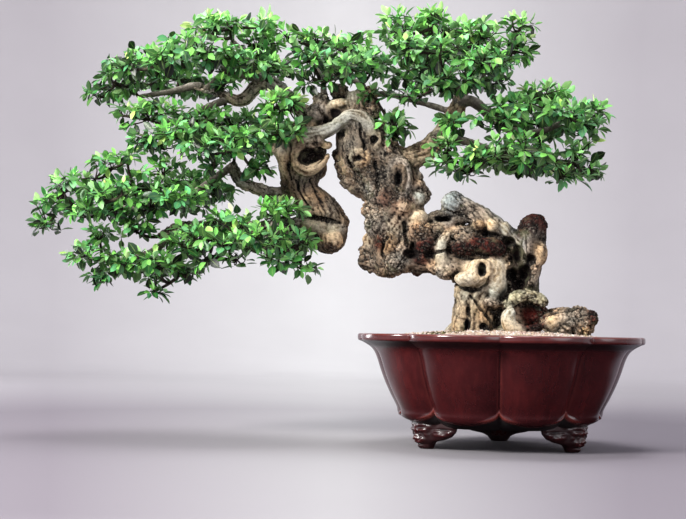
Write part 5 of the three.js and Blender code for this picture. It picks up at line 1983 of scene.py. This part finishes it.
    def twigs(self, bases: Array, directions: Array, holds: Array) -> Shape:
        """Join the shoots to the wood: from the wood to forks, and from the forks to the shoots.

        Forks are shoot bases spread far apart, sunk a little. They are tied to the wood or to each
        other in order of nearness. Each twig is a curve whose middle is pulled down a little.

        Args:
            bases: Feet of the shoots.
            directions: Directions of the shoots.
            holds: Places on the wood, [x, y, z, radius].

        Returns:
            All the twigs.
        """
        wanted = max(2, len(bases) // self.shoots_per_fork)
        chosen = [int(np.argmin(np.linalg.norm(holds[:, None, :3] - bases[None], axis=2).min(axis=0)))]
        reach = np.linalg.norm(bases - bases[chosen[0]], axis=1)
        while len(chosen) < wanted:
            chosen.append(int(np.argmax(reach)))
            reach = np.minimum(reach, np.linalg.norm(bases - bases[chosen[-1]], axis=1))
        nearest = np.argmin(np.linalg.norm(bases[:, None] - bases[chosen][None], axis=2), axis=1)
        forks = np.array([bases[nearest == k].mean(axis=0) - 4 * UP for k in range(wanted)])
        known = holds[:, :3]
        parents = np.zeros((wanted, 3))
        waiting = list(range(wanted))
        while waiting:
            gaps = np.linalg.norm(forks[waiting][:, None] - known[None], axis=2)
            row, column = np.unravel_index(np.argmin(gaps), gaps.shape)
            fork = waiting.pop(int(row))
            parents[fork] = known[column]
            path = np.linspace(known[column], forks[fork], 5)[1:]
            known = np.vstack([known, path])
        sway = -6 * UP + self.rng.normal(0, 4, forks.shape)
        thick = self.curves(parents, forks, sway, self.fork_girth, 6, 6)
        own = forks[nearest]
        pull = -9.0 * directions - 3 * UP + self.rng.normal(0, 1.5, bases.shape)
        ends = bases + directions * 10.0
        thin = self.curves(own, ends, (ends - own) * 0.2 + pull, self.twig_girth, 4, 4)
        whole = Shape.joined([thick, thin])
        whole.tint = np.tile(Bark.BROWN.value.dark, (len(whole.places), 1)) * 0.85
        whole.marks = np.full((len(whole.places), 3), 0.1)
        return whole

    @staticmethod
    def curves(
        starts: Array, ends: Array, pull: Array, girth: tuple[float, float], rings: int, sides: int
    ) -> Shape:
        """Tubes between pairs of places, along curves of the second degree.

        A start counts one minus t squared, the pulled middle two t times one minus t, and an end t
        squared.

        Args:
            starts: Where the tubes start.
            ends: Where they end.
            pull: How far each middle is moved.
            girth: Radius at the start and at the end.
            rings: Rings in a tube.
            sides: Places in a ring.

        Returns:
            All the tubes.
        """
        t = np.linspace(0, 1, rings)[None, :, None]
        middle = (starts + ends)[:, None] / 2 + pull[:, None]
        paths = (1 - t) ** 2 * starts[:, None] + 2 * t * (1 - t) * middle + t**2 * ends[:, None]
        radii = np.tile(np.linspace(*girth, rings), (len(starts), 1))
        return tubes(paths, radii, sides)

    def build(self, leaf: bpy.types.Material, holds: Array) -> Shape:
        """Make the pad's leaves as a piece, and give its twigs back."""
        bases, directions, on_top = self.shoots()
        feet, heads, tops, length, shoot, age = self.leaf_frames(bases, directions)
        low, high = feet[:, 2].min(), feet[:, 2].max()
        colour = self.colours((feet[:, 2] - low) / max(high - low, 1.0), on_top[shoot], age)
        name = self.node.replace("foliage", "leaves")
        self.blades(feet, heads, tops, length, colour).to_piece(name, leaf, "leaves", [self.node])
        log.info("%s: %d shoots, %d leaves", name, len(bases), len(feet))
        return self.twigs(bases, directions, holds)


@dataclass
class Foliage:
    """All the leaf pads, and the twigs that carry them."""

    pads: tuple[LeafPad, ...] = (
        LeafPad("foliage_crown_left", 101),
        LeafPad("foliage_mid_left", 102),
        LeafPad("foliage_lower_left", 103),
        LeafPad("foliage_low_left", 104),
        LeafPad("foliage_low_middle", 105),
        LeafPad("foliage_top_middle", 106),
        LeafPad("foliage_top_right", 107),
        LeafPad("foliage_right_upper", 108),
        LeafPad("foliage_right_lower", 109),
        LeafPad("foliage_sprig", 110, gap=14.0, leaf_length=22.0, leaves=5),
    )

    def build(self, finish: LeafFinish, bark: bpy.types.Material, holds: Array) -> None:
        """Make every pad, then the twigs as one piece."""
        leaf = finish.material()
        twigs = [pad.build(leaf, holds) for pad in self.pads]
        Shape.joined(twigs).to_piece("twigs", bark, "bark")


@dataclass
class TopDressing:
    """Pale grit: a low mound of soil-coloured ground under thousands of angular grains.

    Attributes:
        seed: Seed of its random draws.
        grains: Grains drawn, before those in the wood or the wall are left out.
        reach: Radius within which they are drawn.
        smallest: Least size of a grain.
        largest: Greatest size of one.
        moss_middle: Middle of the mossy patch, [x, y].
        moss_radius: Its radius.
        moss_share: Share of the grains in it that are mossy.
        ground_columns: Places across a petal in the ground's rings.
        top: Outline of the ground's top, from the middle out.
        bottom: Outline of its underside, from the wall inwards.
        earth: The ground's colour.
        palette: The grains' colours.
        moss: The mossy grains' colours.
    """

    seed: int = 77
    grains: int = 11000
    reach: float = 191.0
    smallest: float = 1.4
    largest: float = 3.1
    moss_middle: tuple[float, float] = (-84.0, -60.0)
    moss_radius: float = 34.0
    moss_share: float = 0.75
    ground_columns: int = 18
    top: Outline = ((0, 177), (60, 177), (110, 174), (160, 169), (192, 163))
    bottom: Outline = ((189, 158), (120, 168.6), (60, 171.6), (0, 171.6))
    earth: Colour = paint(190, 166, 148)
    palette: tuple[Colour, ...] = (
        paint(240, 230, 220), paint(228, 212, 192), paint(224, 196, 186), paint(206, 182, 160),
        paint(246, 242, 238), paint(188, 166, 154), paint(230, 214, 188),
    )
    moss: tuple[Colour, ...] = (paint(84, 76, 40), paint(54, 52, 34), paint(104, 104, 52))

    def ground(self, pot: Pot) -> Shape:
        """The layer under the grains: rings from the top's middle out and back underneath."""
        top, bottom = flat_run(self.top, 5.0), flat_run(self.bottom, 12.0)
        profile = np.vstack([top, [self.top[-1]], bottom, [self.bottom[-1]]])[1:-1]
        angle, across = pot.petal_angles(self.ground_columns)
        columns = len(angle)
        radius = profile[:, :1] * pot.drawn_in(profile[:, :1], across)
        height = np.repeat(profile[:, 1:], columns, axis=1)
        places = np.stack([radius * np.cos(angle), radius * np.sin(angle), height], axis=-1).reshape(-1, 3)
        upper = np.repeat(np.arange(len(profile)) < len(profile) - len(bottom), columns)
        places[:, 2] += np.where(upper, 0.7 * rough(places, 5.0, 7, 2) - 0.6, 0.0)
        poles = [[0, 0, self.top[0][1]], [0, 0, self.bottom[-1][1]]]
        rings = len(profile)
        faces = np.concatenate([
            grid_faces(rings, columns)[:, ::-1],
            fan_faces(rings * columns, 0, columns),
            fan_faces(rings * columns + 1, (rings - 1) * columns, columns, flipped=True),
        ])
        whole = np.vstack([places, poles])
        tint = np.array(self.earth) * (0.6 + 0.4 * ease(rough(whole, 5.0, 9, 2), -1, 1))[:, None]
        return Shape(whole, faces, tint)

    def crumbs(self, pot: Pot, wood: WoodField) -> Shape:
        """Scatter eight-sided grains with uneven corners over the ground.

        A grain's corners are those of an octahedron, each pulled in or out at random, then
        stretched by three random factors and turned by a random rotation.

        Args:
            pot: The pot, whose inner wall the grains stay clear of.
            wood: The tree, which no grain lies inside.

        Returns:
            All the grains.
        """
        rng = np.random.default_rng(self.seed)
        radius = self.reach * np.sqrt(rng.random(self.grains))
        angle = rng.random(self.grains) * 2 * np.pi
        x, y = radius * np.cos(angle), radius * np.sin(angle)
        z = np.interp(radius, *zip(*self.top))
        size = self.smallest + (self.largest - self.smallest) * rng.random(self.grains) ** 1.6
        centres = np.stack([x, y, z + size * rng.uniform(-0.2, 0.55, self.grains)], axis=1)
        keep = wood.at(centres) > -1.0
        keep &= radius < self.reach * pot.drawn_in(radius, pot.across(angle)) - size * 0.6
        centres, size = centres[keep], size[keep]
        count = len(centres)
        one = np.vstack([np.eye(3), -np.eye(3)])
        faces = np.array(list(itertools.product((0, 3), (1, 4), (2, 5))))
        outward = np.linalg.det(one[faces]) > 0
        faces = np.where(outward[:, None], faces, faces[:, ::-1])
        uneven = rng.uniform(0.8, 1.3, (count, 6, 1)) * rng.uniform(0.75, 1.25, (count, 1, 3))
        corners = one[None] * uneven
        spin, _ = np.linalg.qr(rng.normal(size=(count, 3, 3)))
        spin *= np.sign(np.linalg.det(spin))[:, None, None]
        places = centres[:, None] + size[:, None, None] * corners @ spin
        indices = faces[None] + 6 * np.arange(count)[:, None, None]
        quads = np.concatenate([indices, np.full((count, len(faces), 1), -1)], axis=2)
        colour = np.array(self.palette)[rng.integers(0, len(self.palette), count)]
        mossy = np.linalg.norm(centres[:, :2] - self.moss_middle, axis=1) < self.moss_radius
        mossy &= rng.random(count) < self.moss_share
        colour[mossy] = np.array(self.moss)[rng.integers(0, len(self.moss), mossy.sum())]
        colour *= rng.uniform(0.78, 1.1, (count, 1))
        tint = np.repeat(np.clip(colour, 0, 1), 6, axis=0)
        return Shape(places.reshape(-1, 3), quads.reshape(-1, 4), tint)

    def build(self, finish: GritFinish, pot: Pot, wood: WoodField) -> None:
        """Make the grit as one piece."""
        whole = Shape.joined([self.ground(pot), self.crumbs(pot, wood)])
        whole.to_piece("pale_grit", finish.material(), "grit", ["gravel"], smooth=False)


@dataclass
class Filling:
    """The soil and the drainage net keep their CAD meshes and get their finishes."""

    def dress(self, soil: SoilFinish, net: NetFinish) -> None:
        """Put each finish on its node."""
        for name, finish in (("soil", soil), ("drainage_mesh", net)):
            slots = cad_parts[name].data.materials
            material = finish.material()
            if slots:
                for i in range(len(slots)):
                    slots[i] = material
            else:
                slots.append(material)
            log.info("%s: dressed", name)


@dataclass(frozen=True)
class Lamp:
    """An oval area light, turned to the middle of the tree.

    Attributes:
        name: Its name.
        place: Where its middle stands, in millimetres.
        size: Its width and height, in millimetres.
        power: Its strength in watts.
        colour: The colour of its light.
        target: The place that it faces, in metres.
    """

    name: str
    place: Place
    size: tuple[float, float]
    power: float
    colour: Colour
    target: Place = (0.0, 0.0, 0.36)

    def build(self) -> None:
        """Hang it up, unseen by the camera."""
        light = bpy.data.lights.new(self.name, "AREA")
        light.shape = "ELLIPSE"
        light.size, light.size_y = (length * MM for length in self.size)
        light.energy = self.power
        light.color = self.colour
        lamp = bpy.data.objects.new(self.name, light)
        lamp.location = Vector(self.place) * MM
        ahead = Vector(self.target) - lamp.location
        lamp.rotation_euler = ahead.to_track_quat("-Z", "Y").to_euler()
        lamp.visible_camera = False
        bpy.context.scene.collection.objects.link(lamp)


@dataclass
class Studio:
    """A pale round bowl of paper, soft lights and the camera.

    The camera's turn, tilt and roll were worked out from the rim, the feet and the eye level.

    Attributes:
        camera_place: Where the camera stands, in millimetres from the pot's axis.
        turn: How far it is turned to the left, in degrees.
        tilt: How far it looks up, in degrees.
        roll: How far it leans, in degrees.
        focal_pixels: Its focal length, in pixels.
        picture_width: Width of the picture, in the same pixels.
        sensor: Width of its sensor, in millimetres.
        farthest: How far it sees, in metres.
        floor_rings: Radii of the flat floor's rings.
        bowl_columns: Places in a ring.
        bowl_radius: Radius of the upright wall.
        bowl_rise: Radius of the curve between the floor and the wall.
        bowl_height: Height of the wall.
        sky: Colour of the light from all round.
        sky_strength: Its strength.
        lamps: Soft key from the upper left, top light, fill from the right and side window.
    """

    camera_place: Place = (0.0, -2116.0, 172.0)
    turn: float = 6.70
    tilt: float = 3.14
    roll: float = 0.97
    focal_pixels: float = 1345.0
    picture_width: float = 686.0
    sensor: float = 36.0
    farthest: float = 50.0
    floor_rings: tuple[float, ...] = (400.0, 1500.0, 2600.0)
    bowl_columns: int = 96
    bowl_radius: float = 5200.0
    bowl_rise: float = 1800.0
    bowl_height: float = 3600.0
    sky: Colour = (0.93, 0.94, 1.0)
    sky_strength: float = 0.75
    lamps: tuple[Lamp, ...] = (
        Lamp("key", (-1900, -2100, 1700), (900, 900), 170.0, (1.0, 0.98, 0.95)),
        Lamp("top", (100, 200, 2700), (1300, 1300), 55.0, (1.0, 1.0, 1.0)),
        Lamp("fill", (2300, -1700, 900), (1700, 1700), 18.0, (0.95, 0.96, 1.0)),
        Lamp("window", (-2300, 1500, 500), (500, 1700), 24.0, (0.97, 0.98, 1.0)),
    )

    def backdrop(self, finish: PaperFinish) -> None:
        """A flat floor that curves up into a wall all round, as a turned outline."""
        curve = np.linspace(0, math.pi / 2, 14)
        radius = self.bowl_radius - self.bowl_rise * (1 - np.sin(curve))
        height = self.bowl_rise * (1 - np.cos(curve))
        profile = np.vstack([
            [(ring, 0.0) for ring in self.floor_rings], np.stack([radius, height], axis=1),
            [[self.bowl_radius, self.bowl_height]],
        ])
        columns = self.bowl_columns
        angle = 2 * np.pi * np.arange(columns) / columns
        places = np.stack([
            profile[:, :1] * np.cos(angle), profile[:, :1] * np.sin(angle),
            np.repeat(profile[:, 1:], columns, axis=1),
        ], axis=-1).reshape(-1, 3)
        faces = np.concatenate([
            grid_faces(len(profile), columns)[:, ::-1], fan_faces(len(places), 0, columns),
        ])
        shape = Shape(np.vstack([places, [[0, 0, 0]]]), faces)
        floor = shape.to_piece("studio_floor", finish.material(), None)

    def light(self) -> None:
        """Light the scene by the sky and the lamps."""
        world = bpy.data.worlds.new("soft_sky")
        world.use_nodes = True
        background = world.node_tree.nodes["Background"]
        background.inputs["Color"].default_value = (*self.sky, 1.0)
        background.inputs["Strength"].default_value = self.sky_strength
        bpy.context.scene.world = world
        for lamp in self.lamps:
            lamp.build()

    def camera(self) -> None:
        """Stand the camera where the photograph was taken from."""
        turn, tilt, roll = (math.radians(a) for a in (self.turn, self.tilt, self.roll))
        ahead = Vector((-math.sin(turn) * math.cos(tilt), math.cos(turn) * math.cos(tilt), math.sin(tilt)))
        level = Vector((math.cos(turn), math.sin(turn), 0.0))
        upright = level.cross(ahead)
        right = level * math.cos(roll) + upright * math.sin(roll)
        up = -level * math.sin(roll) + upright * math.cos(roll)
        data = bpy.data.cameras.new("camera")
        data.sensor_width = self.sensor
        data.lens = self.sensor * self.focal_pixels / self.picture_width
        data.clip_end = self.farthest
        camera = bpy.data.objects.new("camera", data)
        place = Vector(self.camera_place) * MM + Vector(POT_AXIS)
        pose = Matrix((right, up, -ahead)).transposed().to_4x4()
        pose.translation = place
        camera.matrix_world = pose
        bpy.context.scene.collection.objects.link(camera)
        bpy.context.scene.camera = camera

    def build(self, finish: PaperFinish) -> None:
        """Set up the whole studio, with plain colours that aren't flattened."""
        bpy.context.scene.view_settings.view_transform = "Standard"
        self.backdrop(finish)
        self.light()
        self.camera()


def main() -> None:
    """Build the studio and the object's pieces in order."""
    logging.basicConfig(level=logging.INFO, format="%(name)s: %(message)s")
    Studio().build(PaperFinish())
    pot = Pot()
    pot.build(Glaze())
    tree = Tree()
    bark = tree.build(BarkFinish())
    Foliage().build(LeafFinish(), bark, tree.holds())
    TopDressing().build(GritFinish(), pot, tree.wood)
    Filling().dress(SoilFinish(), NetFinish())


if __name__ == "__main__":
    main()
